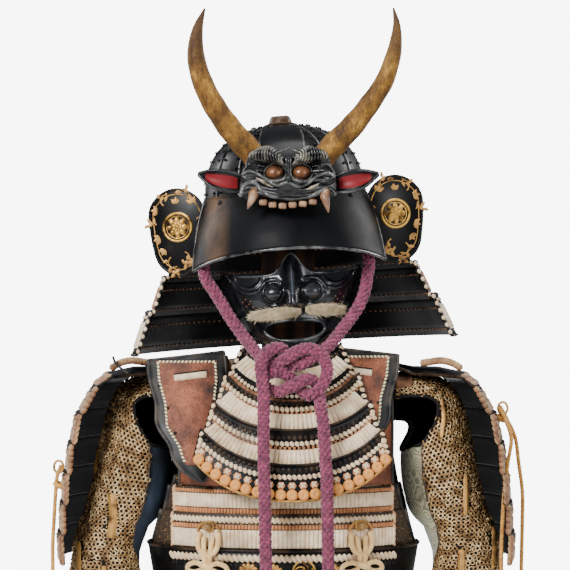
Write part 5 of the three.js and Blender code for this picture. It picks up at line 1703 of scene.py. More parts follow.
def waist_rings():
    for i in range(4):
        low_row, top_row = RINGS[i] + (180,), RINGS[i + 1] + (180,)
        band = torso_band(low_row, top_row)
        number = 4 - i
        shell, low, top = lame_body(band, 120, closed=True)
        meshes, looks = [shell, low, top], [BLACK, GOLD_DULL, BLACK_WORN]
        if number == 1:
            laced = torso_band(RINGS[3], RINGS[4], reach=LACED_REACH, lift=0.5)
            meshes += [twists(laced, 0.83, 7.2, 14, 0.66, 3.6, 36),
                       row_of(laced, BEAD, 0.66, 7.2, (6.4, 7, 1.8)),
                       gilt_flower(-51, 588, 16, 13), gilt_flower(-17, 587, 14, 13),
                       gilt_round(24, 588, 15, 5),
                       gilt_flower(62, 588, 13, 12)]
            looks += [CREAM_ROUND, BLACK, GOLD_DULL, GOLD_DULL, GOLD, GOLD_DULL]
        else:
            middle = (RINGS[i][0] + RINGS[i + 1][0]) / 2
            meshes += [gilt_round(x, middle, 11, 4) for x in (-104, -4, 96)]
            meshes.append(row_of(band, STUD, 0.12, 30, (5.4, 5.4, 2.2)))
            looks += [GOLD_DULL] * 4
        piece(f"waist_ring_{number}", meshes, looks, [f"ring_{number}"])


def chest_point(x, z, out):
    turn = np.degrees(np.arcsin(np.clip((x - TORSO_X) / 187, -0.98, 0.98)))
    return on_ellipse(TORSO_X, 187 + out, 133 + out, turn, z)


def stud_and_bow(x, z, name):
    """A stud with its cord loop hung from it, knotted and tied in a bow."""
    here = chest_point(np.array([x]), np.array([z]), 2.5)
    lean = math.atan2(here[0, 0] - TORSO_X, -here[0, 1])
    across = [(math.cos(lean), math.sin(lean), 0)]
    knob = stamp(scaled(KNOB, 12.4, 12.4, 12), here, across, [(0, 0, 1.0)])
    seat = stamp(scaled(BEAD, 17, 17, 3), here, across, [(0, 0, 1.0)])
    ring_turn = np.linspace(math.radians(-30), math.radians(210), 20)
    wire = tube(chest_point(x + 14.5 * np.cos(ring_turn), z - 6 + 12.5 * np.sin(ring_turn), 6), 1.5, 6)

    def cord(points, radius=3.9, count=26):
        line = curve_through(points, count)
        return tube(chest_point(line[:, 0], line[:, 2], line[:, 1]), radius, 9)
    loop = cord([(x - 12, 6, z - 8), (x - 13.5, 8, z - 20), (x - 10, 9, z - 33), (x, 10, z - 39),
                 (x + 10, 9, z - 33),
                 (x + 13.5, 8, z - 20), (x + 12, 6, z - 8)])
    inner = joined(*(cord([(x + k, 7, z - 14), (x + k * 0.9, 9, z - 26), (x + k * 0.55, 10, z - 38)], 3.7, 12)
                     for k in (-5.5, 5.5)))
    neck = joined(*(cord([(x + k, 10, z - 37), (x + k * 0.8, 10, z - 46), (x + k * 0.6, 9, z - 54)], 3.6, 10)
                    for k in (-4, 4)))
    bows = []
    for side in (-1, 1):
        bows.append(cord([(x + side * 4, 11, z - 53), (x + side * 14, 12, z - 49),
                          (x + side * 24, 10, z - 53),
                          (x + side * 26, 9, z - 60), (x + side * 17, 10, z - 62),
                          (x + side * 5, 11, z - 58)], 3.4))
        bows.append(cord([(x + side * 5, 10, z - 58), (x + side * 16, 9, z - 66), (x + side * 21, 8, z - 80),
                          (x + side * 23, 8, z - 96)], 3.2, 16))
    wrap = cord([(x - 7, 11.5, z - 51), (x, 14, z - 54), (x + 7, 11.5, z - 57)], 4.6, 12)
    piece(name, [seat, knob, wire, loop, inner, neck, *bows, wrap],
          [GOLD_DULL, KNOB_WOOD, GOLD_DULL] + [TIE] * (4 + len(bows)))


STITCH = plain("stitch_pale", linear(214, 214, 176), 0.75)
ORANGE_PALE = plain("tie_pale", linear(206, 160, 120), 0.8)
PLATE = gilt("chest_plate", (216, 190, 138), (150, 116, 74), 0.35, 0.5)
TIE = cord_material("cord_tie", (240, 204, 140), (206, 160, 96))
leaf_plate(-1)
leaf_plate(1)
strap(-1)
strap(1)
front_lames()
chest_plate()
back_parts()
waist_rings()
stud_and_bow(-102.0, 648.0, "chest_tie_left")
stud_and_bow(98.0, 649.0, "chest_tie_right")


# ---- tassets ----
TASSET_ROWS = [(60, 212, 166), (108, 205, 158), (156, 196, 149), (204, 186, 140), (252, 175, 130),
               (300, 164, 120)]
TASSETS = {"front": 0, "front_right": 50, "right": 101, "back_right": 154, "back_left": 206, "left": 259,
           "front_left": 310}


def tasset_edge(z, width, depth, turn, lift=0.0, up=0.0, narrow=0.0):
    reach = 17 + 6 * (300 - z) / 240 - narrow
    return lambda u: on_ellipse(TORSO_X, width + lift, depth + lift,
                                turn - reach + 2 * reach * np.asarray(u, float), z + up)


def tasset(name, turn):
    meshes, looks = [], []
    for i in range(5):
        low, top = TASSET_ROWS[i], TASSET_ROWS[i + 1]
        band = Band(tasset_edge(*low, turn), tasset_edge(*top, turn, 3, -2))
        laced = Band(tasset_edge(*low, turn, 0.4, 0, 0.8), tasset_edge(*top, turn, 3.4, -2, 0.8))
        shell = wall(band.grid(18, np.linspace(0, 1, 3)), 3.0)
        low_rim, top_rim = border(band, 1.9, 24)
        meshes += [shell, low_rim, top_rim, *side_rims(band, 1.9), strands(laced, 0.34, 0.74, 7.6, 0.94, 2.4),
                   strands(laced, 0.76, 0.86, 7.6, 0.8, 1.6), twists(laced, 0.22, 7.2, 8.5, 0.62, 2.4, 36)]
        looks += [BLACK, GOLD_DULL if i == 0 else BLACK_WORN, BLACK_WORN, BLACK_WORN, BLACK_WORN, CREAM,
                  ORANGE, CREAM_ROUND]
        if i == 0:
            meshes.append(row_of(laced, KNOB, 0.09, 15, (10, 8, 5)))
            looks.append(GOLD_ORANGE)
    hung = Band(tasset_edge(300, 160, 117, turn), lambda u: on_ellipse(
        TORSO_X, 156, 116, turn - 17 + 34 * np.asarray(u, float), 345.0))
    meshes += [wall(hung.grid(14, np.linspace(0, 1, 3)), 3.0), strands(hung, 0.02, 0.98, 9.5, 0.5, 3.4)]
    looks += [CLOTH_DARK, CREAM]
    piece(f"skirt_{name}", meshes, looks, [f"tasset_{name}"])


# ---- shoulder guards ----
GUARD_ROWS = [(596, 316), (637, 314), (678, 311), (719, 306), (760, 300), (801, 289), (838, 266)]
GUARD_TOP = [(839, 268, 118), (854, 250, 112), (861, 218, 78), (862, 180, 50), (869.5, 143, 34)]


def guard_bow(share, half):
    """How far a guard bends in at a share of its depth, less at the front than at the back."""
    return np.where(share < 0, 14, 34) * share ** 2 * (half / 118)


def guard_edge(z, x, out=0.0, half=118.0, narrow=0.0):
    def points(u):
        across = (2 * np.asarray(u, float) - 1) * (1 - narrow / half)
        return np.stack(np.broadcast_arrays(x + out - guard_bow(across, half), half * across, float(z)),
                        axis=-1)
    return points


def shoulder_guard(side):
    meshes, looks = [], []
    for i in range(6):
        (low_z, low_x), (top_z, top_x) = GUARD_ROWS[i], GUARD_ROWS[i + 1]
        band = Band(guard_edge(low_z, low_x), guard_edge(top_z - 2, top_x, 4))
        laced = Band(guard_edge(low_z, low_x, 0.4, narrow=4), guard_edge(top_z - 2, top_x, 4.4, narrow=4))
        shell = wall(band.grid(30, np.linspace(0, 1, 4)), 2.5)
        low_rim, top_rim = border(band, 1.7, 40)
        meshes += [shell, low_rim, top_rim, strands(laced, 0.06, 0.46, 7.0, 0.96, 3.0),
                   strands(laced, 0.48, 0.58, 5.2, 0.8, 2.0),
                   twists(laced, 0.68, 6.8, 9, 0.62, 3.2, 36), row_of(laced, BEAD, 0.86, 7.2, (6.6, 8, 2.0))]
        looks += [BLACK_MATT_SHADED, BLACK_WORN, BLACK_WORN, CREAM_SHADED, BROWN, CREAM_SHADED, BLACK_WORN]
        for u in (0.0, 1.0):
            v = (np.arange(5) + 0.5) / 5
            here, across, up = band.frames(np.full(5, u), v)
            out = unit(np.cross(across, up))
            meshes.append(stamp(rotated(scaled(BEAD, 8, 12, 4.4), 26),
                                here + out * 1.2 - unit(across) * (1.5 if u else -1.5),
                                across, up))
            looks.append(CREAM_SHADED if i % 2 else BROWN_PALE)
            face = -unit(across) if u == 0 else unit(across)
            meshes.append(stamp(rotated(scaled(BEAD, 5.0, 11, 2.6), 18), here + face * 0.2 + out * 0.5,
                                out * (1 if u == 0 else -1), up))
            looks.append(CREAM_SHADED if i % 2 == 0 else BROWN_PALE)
        if i % 2 == 0:
            meshes.append(row_of(laced, STUD, 0.86, 34, (5, 5, 3.4)))
            looks.append(GOLD_DULL)
    flip = (lambda m: m) if side > 0 else across_of
    name = "right" if side > 0 else "left"
    piece(f"guard_laced_{name}", [flip(m) for m in meshes], looks, [f"shoulder_guard_{name}"])


def shoulder_top(side):
    rows = np.array(GUARD_TOP, float)
    t = np.linspace(0, 1, 33)
    share = np.linspace(0, 1, len(rows))
    z, x, half = (np.interp(t, share, rows[:, k]) for k in range(3))
    across = np.linspace(-1, 1, 25)
    lip = np.interp(t, share, [0, 3, 9, 9, 0])
    grid = np.stack([np.stack([xx - guard_bow(across, hh), hh * across, zz - drop * across ** 6], axis=1)
                     for zz, xx, hh, drop in zip(z, x, half, lip)])
    plate = wall(grid, 2.5)
    rims = [tube(grid[:, k], 2.0, 7) for k in (0, -1)] + [tube(grid[k], 2.0, 7) for k in (0, -1)]
    band = Band(guard_edge(839, 268), guard_edge(854, 250, half=112.0))
    lacing = [twists(band, 0.12, 8, 10, 0.62, 3.4, 36), strands(band, 0.3, 0.62, 7.4, 0.92, 2.4),
              twists(band, 0.8, 8, 10, 0.62, 3.2, 36)]
    tie_line = curve_through([(240, -82, 861), (228, -76, 868), (214, -64, 871), (200, -54, 869),
                              (188, -46, 867)], 30)
    tie = beads_along(tie_line, 5.2, (9, 10, 6.5), 34, (0, -0.4, 1.0))
    tie_core = tube(tie_line, 4.2, 8)
    flip = (lambda m: m) if side > 0 else across_of
    name = "right" if side > 0 else "left"
    meshes = [plate, *rims, *lacing, tie_core, tie]
    looks = [BLACK] + [BLACK_WORN] * 4 + [CREAM_SHADED, BROWN, CREAM_SHADED, BROWN, CREAM_SHADED]
    if side < 0:
        strip = np.linspace(0, 1, 12)
        tab = np.stack([np.stack([238 - 22 * strip + 5 * np.sin(strip * 3.1), np.full(12, -92.0 + w),
                                  878 - 24 * strip], axis=1)
                        for w in (-7, 0, 7)])
        meshes.append(wall(tab, 2.4))
        looks.append(SLATE)
    piece(f"guard_top_{name}", [flip(m) for m in meshes], looks, [f"shoulder_top_{name}"])


# ---- sleeves ----
SLEEVE = np.array([(262, -44, 292, 37, 44, 0), (262, -40, 352, 43, 50, 0), (260, -30, 440, 48, 56, 0),
                   (255, -18, 530, 48, 60, 0), (247, -9, 618, 48, 64, 0), (225, -6, 668, 54, 66, 4),
                   (214, -3, 715, 53, 67, 10), (206, 0, 765, 52, 68, 28), (196, 0, 795, 52, 66, 52),
                   (175, 0, 806, 46, 62, 80), (151, 0, 806, 44, 60, 90)], float)
# Turns by row: where the armhole's front and back edges run, and where the mail stops towards the body.
ARMHOLE_FRONT = [(0, -22), (7.05, -22), (7.4, 0), (7.7, 14), (8, 26), (8.5, 26), (9, 22), (10, 18.5)]
ARMHOLE_BACK = [(0, 338), (7.05, 338), (7.14, 276), (7.5, 240), (8, 220), (8.6, 212), (10, 208)]
MAIL_EDGE = [(0, -155), (2.7, -150), (3.5, -78), (4, -46), (4.5, -34), (5, -29), (6, -28), (7.05, -22),
             (7.4, 0),
             (7.7, 14), (8, 26), (8.5, 26), (9, 22), (10, 18.5)]


def sleeve_point(s, turn, out=0.0):
    """A place on the right sleeve: `s` runs from the wrist at 0 to the shoulder at 1."""
    s, turn = np.broadcast_arrays(np.asarray(s, float), np.asarray(turn, float))
    row = s * (len(SLEEVE) - 1)
    table = list(range(len(SLEEVE)))
    x, y, z, wide, deep, lean = (smooth_between(row, list(zip(table, SLEEVE[:, k]))) for k in range(6))
    angle, lean = np.radians(turn), np.radians(lean)
    folds = 1 + 0.022 * np.sin(3 * angle + np.radians(70 * row))
    for place, side, depth, width in SLEEVE_FOLDS:
        apart = (turn - side + 180) % 360 - 180
        folds = folds - depth * bell(row, place + apart * 0.0035, width) * bell(apart, 0, 62)
    across = (wide * folds + out) * np.sin(angle)
    return np.stack([x + across * np.cos(lean), y - (deep * folds + out) * np.cos(angle),
                     z + across * np.sin(lean)], axis=-1)


SLEEVE_FOLDS = [(3.9, -60, 0.055, 0.16), (4.35, -95, 0.06, 0.14), (4.7, 40, 0.03, 0.2),
                (5.6, -30, 0.045, 0.22),
                (6.4, 20, 0.04, 0.2), (3.2, 120, 0.05, 0.18), (4.1, 160, 0.055, 0.16), (2.2, 60, 0.035, 0.2),
                (1.2, -100, 0.04, 0.18), (0.6, 30, 0.03, 0.14), (6.0, 170, 0.04, 0.22), (2.7, -20, 0.03, 0.2)]


def lining_edge(s):
    """The turn at which the mail stops towards the body."""
    return between(s * (len(SLEEVE) - 1), MAIL_EDGE)


def sleeve_cloth(side):
    """The lining: a tube up the arm that opens under the shoulder and ends in a cuff at the collar."""
    last = len(SLEEVE) - 1
    row = np.sort(np.concatenate([np.linspace(0, last, 72), np.linspace(7.04, 7.2, 7)]))[:, None]
    front, back = between(row, ARMHOLE_FRONT), between(row, ARMHOLE_BACK)
    turn = front + (back - front) * np.linspace(0, 1, 53)[None]
    shell = wall(sleeve_point(row / last + 0 * turn, turn, -0.6), 2.0)
    # Painted shade: a near-black sheet just inside the wall darkens the sleeve's inside.
    inside = sheet_of(sleeve_point(row / last + 0 * turn, turn, -2.9)[:, ::-1])
    wrist = tube(sleeve_point(np.full(60, 0.004), np.linspace(0, 360, 60, endpoint=False), 0.4), 2.6, 8,
                 closed=True)
    down = np.linspace(last, 7.06, 40)
    up = np.linspace(7.06, last, 40)
    over = np.linspace(between(last, ARMHOLE_BACK), between(last, ARMHOLE_FRONT) , 40)[1:-1]
    hole = tube(np.concatenate([sleeve_point(down / last, between(down, ARMHOLE_FRONT), 0.4),
                                sleeve_point(up / last, between(up, ARMHOLE_BACK), 0.4),
                                sleeve_point(np.full(38, 1.0), over, 0.4)]), 2.4, 8, closed=True)
    cuff_row = np.linspace(9.2, 9.97, 8)[:, None]
    cuff_turn = np.linspace(36, 200, 40)[None]
    cuff = wall(sleeve_point(cuff_row / last + 0 * cuff_turn, cuff_turn, 4.6), 2.0)
    flip = (lambda m: m) if side > 0 else across_of
    name = "right" if side > 0 else "left"
    # The left sleeve's cloth is dark blue: its darkness is painted shade.
    cloth = piece(f"sleeve_cloth_{name}", flip(shell), BROCADE if side > 0 else BLUE_CLOTH_SHADED,
                  [f"sleeve_{name}"])
    lining = piece(f"sleeve_shade_lining_{name}", flip(inside), LINING_SHADE)
    binding = piece(f"sleeve_hems_{name}", [flip(wrist), flip(hole), flip(cuff)],
                    [LEATHER, CLOTH_DARK, BROWN_PALE])
    riding = mail(side) + [binding, lining]


def ring_template(sides=5):
    """A mail ring of outer size 1 lying flat, its wire three-sided."""
    turn = np.linspace(0, 2 * math.pi, sides, endpoint=False)
    reach, rise, wire = 0.4, 0.15, 0.1
    grid = np.array([[((reach + wire * math.cos(w)) * math.cos(a), (reach + wire * math.cos(w)) * math.sin(a),
                       rise * math.sin(w) + 0.1)
                      for w in (0.5, 2.6, 4.7)] for a in turn])
    grid = np.concatenate([grid, grid[:1]])
    points, faces = sheet_of(grid, closed=True)
    last = sides * 3
    return points[:last], [tuple(n % last for n in face) for face in faces]


def diamond():
    points = np.array([(-0.5, 0, 0), (0, -0.5, 0), (0.5, 0, 0), (0, 0.5, 0), (0, 0, 1.0)])
    return points, [(0, 1, 4), (1, 2, 4), (2, 3, 4), (3, 0, 4)]


SPLINTS = [(214, 818, 767, 9.5), (247, 714, 660, 9), (240, 612, 560, 10), (283, 640, 585, 9),
           (262, 520, 462, 10),
           (291, 530, 478, 9), (236, 500, 448, 9), (252, 420, 372, 9), (284, 415, 365, 9)]
SPLINTS_LEFT = [(240, 688, 629, 12), (266, 748, 712, 9), (250, 590, 538, 10), (283, 620, 570, 9),
                (262, 500, 445, 10), (291, 520, 470, 9), (236, 486, 434, 9), (252, 415, 368, 9),
                (284, 408, 360, 9)]


def sleeve_place(x, z):
    """The turn and share of the front of the sleeve at x and z."""
    shares = np.linspace(0, 1, 400)
    middle = sleeve_point(shares, 0.0)
    s = float(np.interp(z, middle[:, 2], shares))
    for _ in range(14):
        row = s * (len(SLEEVE) - 1)
        centre, wide, lean = (np.interp(row, range(len(SLEEVE)), SLEEVE[:, k]) for k in (0, 3, 5))
        lean = math.radians(lean)
        turn = math.degrees(math.asin(max(-0.97, min(0.97, (x - centre) / (wide * math.cos(lean))))))
        rise = z - float(sleeve_point(s, turn)[2])
        s = min(0.99, max(0.01, s + rise / 900))
    return s, turn


def mail(side):
    pitch = 7.2
    flip = (lambda m: m) if side > 0 else across_of
    name = "right" if side > 0 else "left"
    fine = np.linspace(0, 1, 500)
    run = sleeve_point(fine, 55.0)
    run = np.concatenate([[0], np.cumsum(np.linalg.norm(np.diff(run, axis=0), axis=1))])
    rows = int(run[-1] / (pitch * 0.9))
    origins, links = [], []
    luck = random.Random(31 if side > 0 else 32)
    for i in range(rows):
        s = float(np.interp((i + 0.5) / rows * run[-1], run, fine))
        middle = sleeve_point(s, np.arange(0, 360, 10.0))
        girth = float(np.linalg.norm(np.diff(middle, axis=0, append=middle[:1]), axis=1).sum())
        count = round(girth / pitch)
        edge = float(lining_edge(np.array(s)))
        for k in range(count):
            turn = 360 * (k + 0.5 * (i % 2)) / count
            apart = (turn + 180) % 360 - 180
            if -180 < apart < edge and apart > -165:
                continue
            origins.append((s, turn))
            links.append((s, turn + 180 / count))
    hidden = [sleeve_place(x, (a + b) / 2) + (abs(a - b) / 2 / run[-1],) for x, a, b,
              _ in (SPLINTS if side > 0 else SPLINTS_LEFT)]
    spots = np.array([(s + luck.gauss(0, 0.0006), t + luck.gauss(0, 0.35)) for s, t in origins
                      if not any(abs(s - a) < c * 0.85 and abs((t - b + 180) % 360 - 180) < 4.5 for a, b,
                                 c in hidden)])
    here = sleeve_point(spots[:, 0], spots[:, 1], 0.4)
    across = sleeve_point(spots[:, 0], spots[:, 1] + 0.5, 0.4) - here
    up = sleeve_point(np.minimum(1, spots[:, 0] + 0.002), spots[:, 1], 0.4) - here
    tilt_by = np.random.default_rng(4).normal(0, 0.28, (len(spots), 2))
    out = unit(np.cross(across, up))
    across = unit(across) + out * tilt_by[:, :1]
    up = unit(up) + out * tilt_by[:, 1:]
    rings = stamp(scaled(ring_template(), pitch * 1.14, pitch * 1.14, pitch * 1.05), here, across, up)
    spots = np.array(links)
    here = sleeve_point(spots[:, 0], spots[:, 1], 0.9)
    across = sleeve_point(spots[:, 0], spots[:, 1] + 0.5, 0.9) - here
    up = sleeve_point(np.minimum(1, spots[:, 0] + 0.002), spots[:, 1], 0.9) - here
    knots = stamp(scaled(diamond(), 1.7, 3.2, 2.0), here, across, up)
    ground_s = np.linspace(0.004, 0.996, 70)[:, None]
    span = np.linspace(0, 1, 50)[None]
    start = lining_edge(ground_s)
    turn = start + (195 - start) * span
    ground = sheet_of(sleeve_point(ground_s + 0 * turn, turn, 0.25))
    edge = tube(sleeve_point(ground_s[:, 0], start[:, 0], 0.6), 1.8, 6)
    links_made = piece(f"sleeve_mail_{name}", [flip(m) for m in (rings, knots, ground, edge)],
                       [MAIL, MAIL, CLOTH_DARK, FLECKED])
    bars = []
    for x, high, low, width in (SPLINTS if side > 0 else SPLINTS_LEFT):
        ends = [sleeve_place(x, z) for z in (low, high)]
        v = np.linspace(0, 1, 9)
        s = ends[0][0] + (ends[1][0] - ends[0][0]) * v
        turn = ends[0][1] + (ends[1][1] - ends[0][1]) * v
        middle = sleeve_point(s, turn, 2.2)
        beside = unit(sleeve_point(s, turn + 1, 2.2) - middle)
        out = unit(np.cross(beside, np.gradient(middle, axis=0)))
        taper = np.array([0.72, 0.95, 1, 1, 1, 1, 1, 0.95, 0.72])[:, None]
        section = [(-0.5, 0), (-0.42, 1.6), (-0.16, 1.9), (0, 3.4), (0.16, 1.9), (0.42, 1.6), (0.5, 0)]
        grid = np.stack([middle + beside * (a * width * taper) + out * b for a, b in section], axis=1)
        bars.append(sheet_of(grid))
    return [links_made, piece(f"sleeve_splints_{name}", [flip(m) for m in bars], GOLD_DULL)]


def hand_guard(side):
    rows = [(172, 26, 292), (205, 40, 298), (250, 42, 301), (291.5, 36, 297)]
    z = np.linspace(172, 291.5, 30)
    half = smooth_between(z, [(a, b) for a, b, c in rows])
    x = smooth_between(z, [(a, c) for a, b, c in rows])
    share = np.linspace(-1, 1, 21)
    grid = np.stack([np.stack([xx - 20 * share ** 2 + 1.6 * bell(share, 0, 0.1), -44 + hh * share,
                               np.full(21, zz)], axis=1)
                     for zz, hh, xx in zip(z, half, x)])
    shell = wall(grid, 3.0)
    edge = np.concatenate([grid[0], grid[1:, -1], grid[-1, ::-1][1:], grid[:-1, 0][::-1][:-1]])
    rim = tube(edge, 2.2, 7, closed=True)
    flip = (lambda m: m) if side > 0 else across_of
    name = "right" if side > 0 else "left"
    inner = grid[4:-4, 3:-3]
    line = np.concatenate([inner[0], inner[1:, -1], inner[-1, ::-1][1:],
                           inner[:-1, 0][::-1][:-1]]) + np.array([0.5, 0, 0])
    trim = tube(line, 0.9, 5, closed=True)
    piece(f"hand_shell_{name}", [flip(m) for m in (shell, rim, trim)], [BLACK, BLACK_WORN, GOLD_DULL],
          [f"hand_guard_{name}"])


BLUE_CLOTH_SHADED = blue_lining_shaded()
# Painted shade for the insides of the sleeves.
LINING_SHADE = plain("lining_painted_shade", linear(20, 20, 22), 0.95)
# A darker copy of the cream silk for the shoulder guards: the darkening is painted shade.
CREAM_SHADED = silk("silk_cream_shaded", (176, 140, 98), (106, 74, 44), dirt=(46, 32, 20), axis=0)
BROWN_PALE = silk("silk_tan", (150, 100, 62), (92, 56, 32), dirt=(46, 28, 16), axis=0)
for tasset_name, tasset_turn in TASSETS.items():
    tasset(tasset_name, tasset_turn)
for each_side in (1, -1):
    shoulder_guard(each_side)
    shoulder_top(each_side)
    sleeve_cloth(each_side)
    hand_guard(each_side)


# ---- cords ----
STRAND_LEFT = [(-0.113, -0.066, 1.016), (-0.112, -0.074, 0.989), (-0.1, -0.08, 0.969),
               (-0.089, -0.088, 0.952),
               (-0.08, -0.098, 0.937), (-0.069, -0.108, 0.921), (-0.057, -0.124, 0.905),
               (-0.046, -0.142, 0.892)]
STRAND_RIGHT = [(0.113, -0.066, 1.028), (0.114, -0.076, 1.004), (0.111, -0.084, 0.985), (0.108, -0.09, 0.969),
                (0.101, -0.098, 0.951), (0.091, -0.11, 0.935), (0.079, -0.124, 0.92), (0.068, -0.142, 0.906)]
TAIL_LEFT = [(-0.03, -0.183, 0.818), (-0.03, -0.187, 0.79), (-0.03, -0.19, 0.75), (-0.029, -0.192, 0.715),
             (-0.028, -0.19, 0.67), (-0.027, -0.186, 0.61), (-0.026, -0.18, 0.54), (-0.026, -0.176, 0.47),
             (-0.025, -0.174, 0.42), (-0.024, -0.173, 0.384)]
TAIL_RIGHT = [(0.046, -0.183, 0.814), (0.05, -0.187, 0.786), (0.052, -0.19, 0.75), (0.054, -0.192, 0.715),
              (0.055, -0.19, 0.67), (0.056, -0.186, 0.61), (0.057, -0.18, 0.54), (0.058, -0.176, 0.47),
              (0.058, -0.174, 0.42), (0.058, -0.173, 0.376)]
# How each cord runs through the knot: the first crosses to the right tail, the second to the left one.
KNOT_FIRST = [(-0.034, -0.16, 0.879), (-0.025, -0.164, 0.872), (-0.013, -0.171, 0.871), (0, -0.179, 0.879),
              (0.012, -0.181, 0.886), (0.026, -0.179, 0.891), (0.041, -0.175, 0.888), (0.051, -0.173, 0.877),
              (0.055, -0.173, 0.862), (0.051, -0.175, 0.847), (0.042, -0.177, 0.834), (0.03, -0.175, 0.829),
              (0.02, -0.166, 0.835), (0.01, -0.166, 0.847), (0, -0.17, 0.857), (-0.012, -0.172, 0.86),
              (-0.024, -0.164, 0.857), (-0.032, -0.16, 0.848), (-0.026, -0.16, 0.838),
              (-0.012, -0.168, 0.833),
              (0.002, -0.177, 0.838), (0.016, -0.179, 0.846), (0.029, -0.175, 0.85), (0.039, -0.166, 0.846),
              (0.044, -0.163, 0.834), (0.045, -0.172, 0.824)]
KNOT_SECOND = [(0.057, -0.158, 0.894), (0.044, -0.168, 0.885), (0.031, -0.172, 0.877), (0.018, -0.171, 0.869),
               (0.007, -0.164, 0.869), (-0.001, -0.162, 0.878), (-0.003, -0.169, 0.888),
               (-0.014, -0.177, 0.892),
               (-0.027, -0.18, 0.885), (-0.034, -0.181, 0.871), (-0.032, -0.181, 0.85),
               (-0.03, -0.182, 0.832)]
CORD_WIDTH = 14.5
PLAIT_BEAD = bead_template(6)


def smooth_line(points, spacing):
    """A smooth line through points in metres, as points in mm about `spacing` mm apart."""
    points = np.array(points) * 1000
    rough = curve_through(points, len(points) * 12)
    reach = np.concatenate([[0], np.cumsum(np.linalg.norm(np.diff(rough, axis=0), axis=1))])
    count = round(reach[-1] / spacing)
    wanted = np.linspace(0, reach[-1], count + 1)
    return np.stack([np.interp(wanted, reach, rough[:, k]) for k in range(3)], axis=1), float(reach[-1])


def plaited(line, width, around=6, bead=(0.62, 1.0, 0.3), lean=34, twist=0.0):
    """A round plaited cord: a core with rows of leaning strands set half a step apart."""
    along = unit(np.gradient(line, axis=0))
    side = np.zeros_like(line)
    side[0] = unit(np.cross(along[0], [0, 1.0, 0.02]))
    for i in range(1, len(line)):
        side[i] = unit(side[i - 1] - along[i] * np.dot(side[i - 1], along[i]))
    other = np.cross(along, side)
    core = width * 0.36
    places, across, up = [], [], []
    for k in range(around):
        turn = 2 * math.pi * (k + 0.5 * (np.arange(len(line)) % 2)) / around + twist * np.arange(len(line))
        out = np.cos(turn)[:, None] * side + np.sin(turn)[:, None] * other
        places.append(line + out * core * 0.9)
        sway = (-1) ** (k % 2)
        around_way = np.cross(out, along)
        up.append(unit(along + around_way * sway * math.tan(math.radians(lean))))
        across.append(np.cross(up[-1], out))
    places, across, up = (np.concatenate(part) for part in (places, across, up))
    size = (width * bead[0] * 6 / around * 0.68, width * bead[1] * 0.62, width * bead[2])
    return [tube(line, core, 7), stamp(scaled(PLAIT_BEAD, *size), places, across, up)]


def end_knot(place, width):
    """The overhand knot and short tuft at a cord's free end."""
    turn = np.linspace(0, 2 * math.pi * 1.25, 26)
    ring = place + np.stack([width * 0.62 * np.cos(turn), width * 0.5 * np.sin(turn),
                             width * (0.25 * np.sin(turn * 0.8) - 0.1)], axis=1)
    ends = []
    for k in range(26):
        a = 2.4 * k
        reach = width * 0.34 * math.sqrt((k + 0.5) / 26)
        root = place + np.array([reach * math.cos(a), reach * math.sin(a), -width * 0.3])
        tip = root + np.array([reach * 0.8 * math.cos(a), reach * 0.8 * math.sin(a), -width * 1.35])
        ends.append(tube(np.array([root, (root + tip) / 2, tip]), [width * 0.09, width * 0.08, width * 0.04],
                         5))
    return joined(tube(ring, width * 0.36, 9), *ends)


def helmet_cords():
    routes = {"left": (STRAND_LEFT + KNOT_FIRST + TAIL_RIGHT, "helmet_cord_left", "helmet_tail_right"),
              "right": (STRAND_RIGHT + KNOT_SECOND + TAIL_LEFT, "helmet_cord_right", "helmet_tail_left")}
    for name, (route, strand, tail) in routes.items():
        line, length = smooth_line(route, 5.0)
        nodes = [strand, tail] + (["helmet_cord_knot"] if name == "left" else [])
        cord = piece(f"helmet_plait_{name}", plaited(line, CORD_WIDTH), [MAUVE_DARK, MAUVE],
                     nodes)
        knot = piece(f"helmet_end_{name}", end_knot(line[-1], CORD_WIDTH), MAUVE)


GUARD_LEFT = [(-0.311, -0.058, 0.726), (-0.316, -0.061, 0.712), (-0.318, -0.062, 0.69),
              (-0.32, -0.062, 0.655),
              (-0.322, -0.061, 0.62), (-0.322, -0.061, 0.58), (-0.321, -0.06, 0.54), (-0.32, -0.06, 0.5),
              (-0.319, -0.06, 0.462)]
GUARD_RIGHT = [(0.296, -0.058, 0.808), (0.304, -0.061, 0.792), (0.316, -0.062, 0.766), (0.321, -0.062, 0.73),
               (0.326, -0.062, 0.69), (0.326, -0.061, 0.65), (0.325, -0.06, 0.6), (0.324, -0.06, 0.55),
               (0.323, -0.06, 0.505), (0.322, -0.06, 0.47)]
GUARD_RIGHT_INNER = [(0.294, -0.068, 0.806), (0.302, -0.074, 0.79), (0.309, -0.082, 0.765),
                     (0.304, -0.09, 0.735),
                     (0.299, -0.096, 0.7), (0.296, -0.099, 0.66), (0.294, -0.1, 0.61), (0.294, -0.1, 0.56),
                     (0.295, -0.1, 0.51), (0.296, -0.1, 0.47)]
GUARD_CORD_WIDTH = 6.5


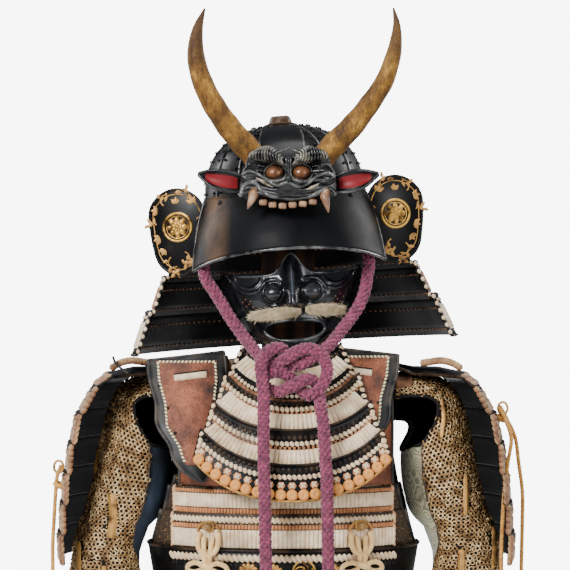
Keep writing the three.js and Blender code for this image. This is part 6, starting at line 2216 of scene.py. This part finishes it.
def guard_cords():
    for name, route, node in (("left", GUARD_LEFT, ["guard_cord_left"]),
                              ("right", GUARD_RIGHT, ["guard_cord_right"]),
                              ("right_inner", GUARD_RIGHT_INNER, [])):
        line, length = smooth_line(route, 3.4)
        cord = piece(f"guard_lace_{name}", plaited(line, GUARD_CORD_WIDTH, 4, (0.6, 0.95, 0.14), 20), YELLOW,
                     node)
        tip = piece(f"guard_tip_{name}",
                    tube(line[-1] + np.array([(0, 0, 1.0), (0, 0, -2), (0, 0, -9)]), [3.6, 3.7, 3.2], 10),
                    YELLOW)
    turn = np.linspace(0, 2 * math.pi, 30, endpoint=False)
    for name, (x, y, z) in (("left", (-314, -60, 725)), ("right", (299, -62, 806))):
        circle = np.stack([x + 6.5 * np.cos(turn), np.full(30, float(y)), z + 8.5 * np.sin(turn)], axis=1)
        parts = [tube(circle, 1.8, 8, closed=True)]
        looks = [GOLD_DULL]
        bend = np.linspace(0, 2 * math.pi * 1.4, 26)
        drop = 26 if x < 0 else 14
        wrap = np.stack([x - 2 * np.sign(x) + 7.2 * np.cos(bend), y + 5.5 * np.sin(bend) - 1,
                         z - drop + 3.4 * np.sin(bend * 0.7)], axis=1)
        parts.append(tube(wrap, 3.2, 8))
        looks.append(YELLOW)
        piece(f"guard_ring_{name}", parts, looks)


# ---- stand ----
def stand():
    corner = []
    for sx, sy, start in ((1, -1, 270), (1, 1, 0), (-1, 1, 90), (-1, -1, 180)):
        for k in range(9):
            a = math.radians(start + 90 * k / 8)
            corner.append((sx * 170 + 30 * math.cos(a), sy * 205 + 30 * math.sin(a)))
    base = slab(corner, 0, 30, 4)
    post = slab([(-22, -18), (22, -18), (22, 18), (-22, 18)], 30.4, 816, 2.5)
    collar = slab([(-34, -30), (34, -30), (34, 30), (-34, 30)], 30, 52, 4)
    x = np.linspace(-146, 146, 25)
    upper = [(a, beam_top(a)) for a in x]
    lower = [(146, beam_top(146.0) - 26), (70, 806), (-70, 806), (-146, beam_top(146.0) - 26)]
    beam = slab(upper + lower, -20, 20, 2.5, (0, 2, 1))
    board = slab([(-34.5, -12), (40.5, -12), (40.5, 12), (-34.5, 12)], 878.4, 1150, 2)
    profile = [(58, 0), (67, 3), (70, 8), (69, 15), (66, 22), (60, 30), (52, 36), (44, 41), (34, 45),
               (16, 49), (2, 50)]
    block_points, block_faces = lathe(profile, 48)
    block_faces.append(tuple(reversed(range(48))))
    block = (block_points + np.array([3.0, 5.0, 1146]), block_faces)
    piece("stand_foot", [base, collar], WOOD, ["stand_base"], sharp=35)
    piece("stand_cross", [post, beam], WOOD, ["stand_frame"], sharp=35)
    piece("stand_top", [board, block], WOOD, ["stand_head"], sharp=35)


helmet_cords()
guard_cords()
stand()
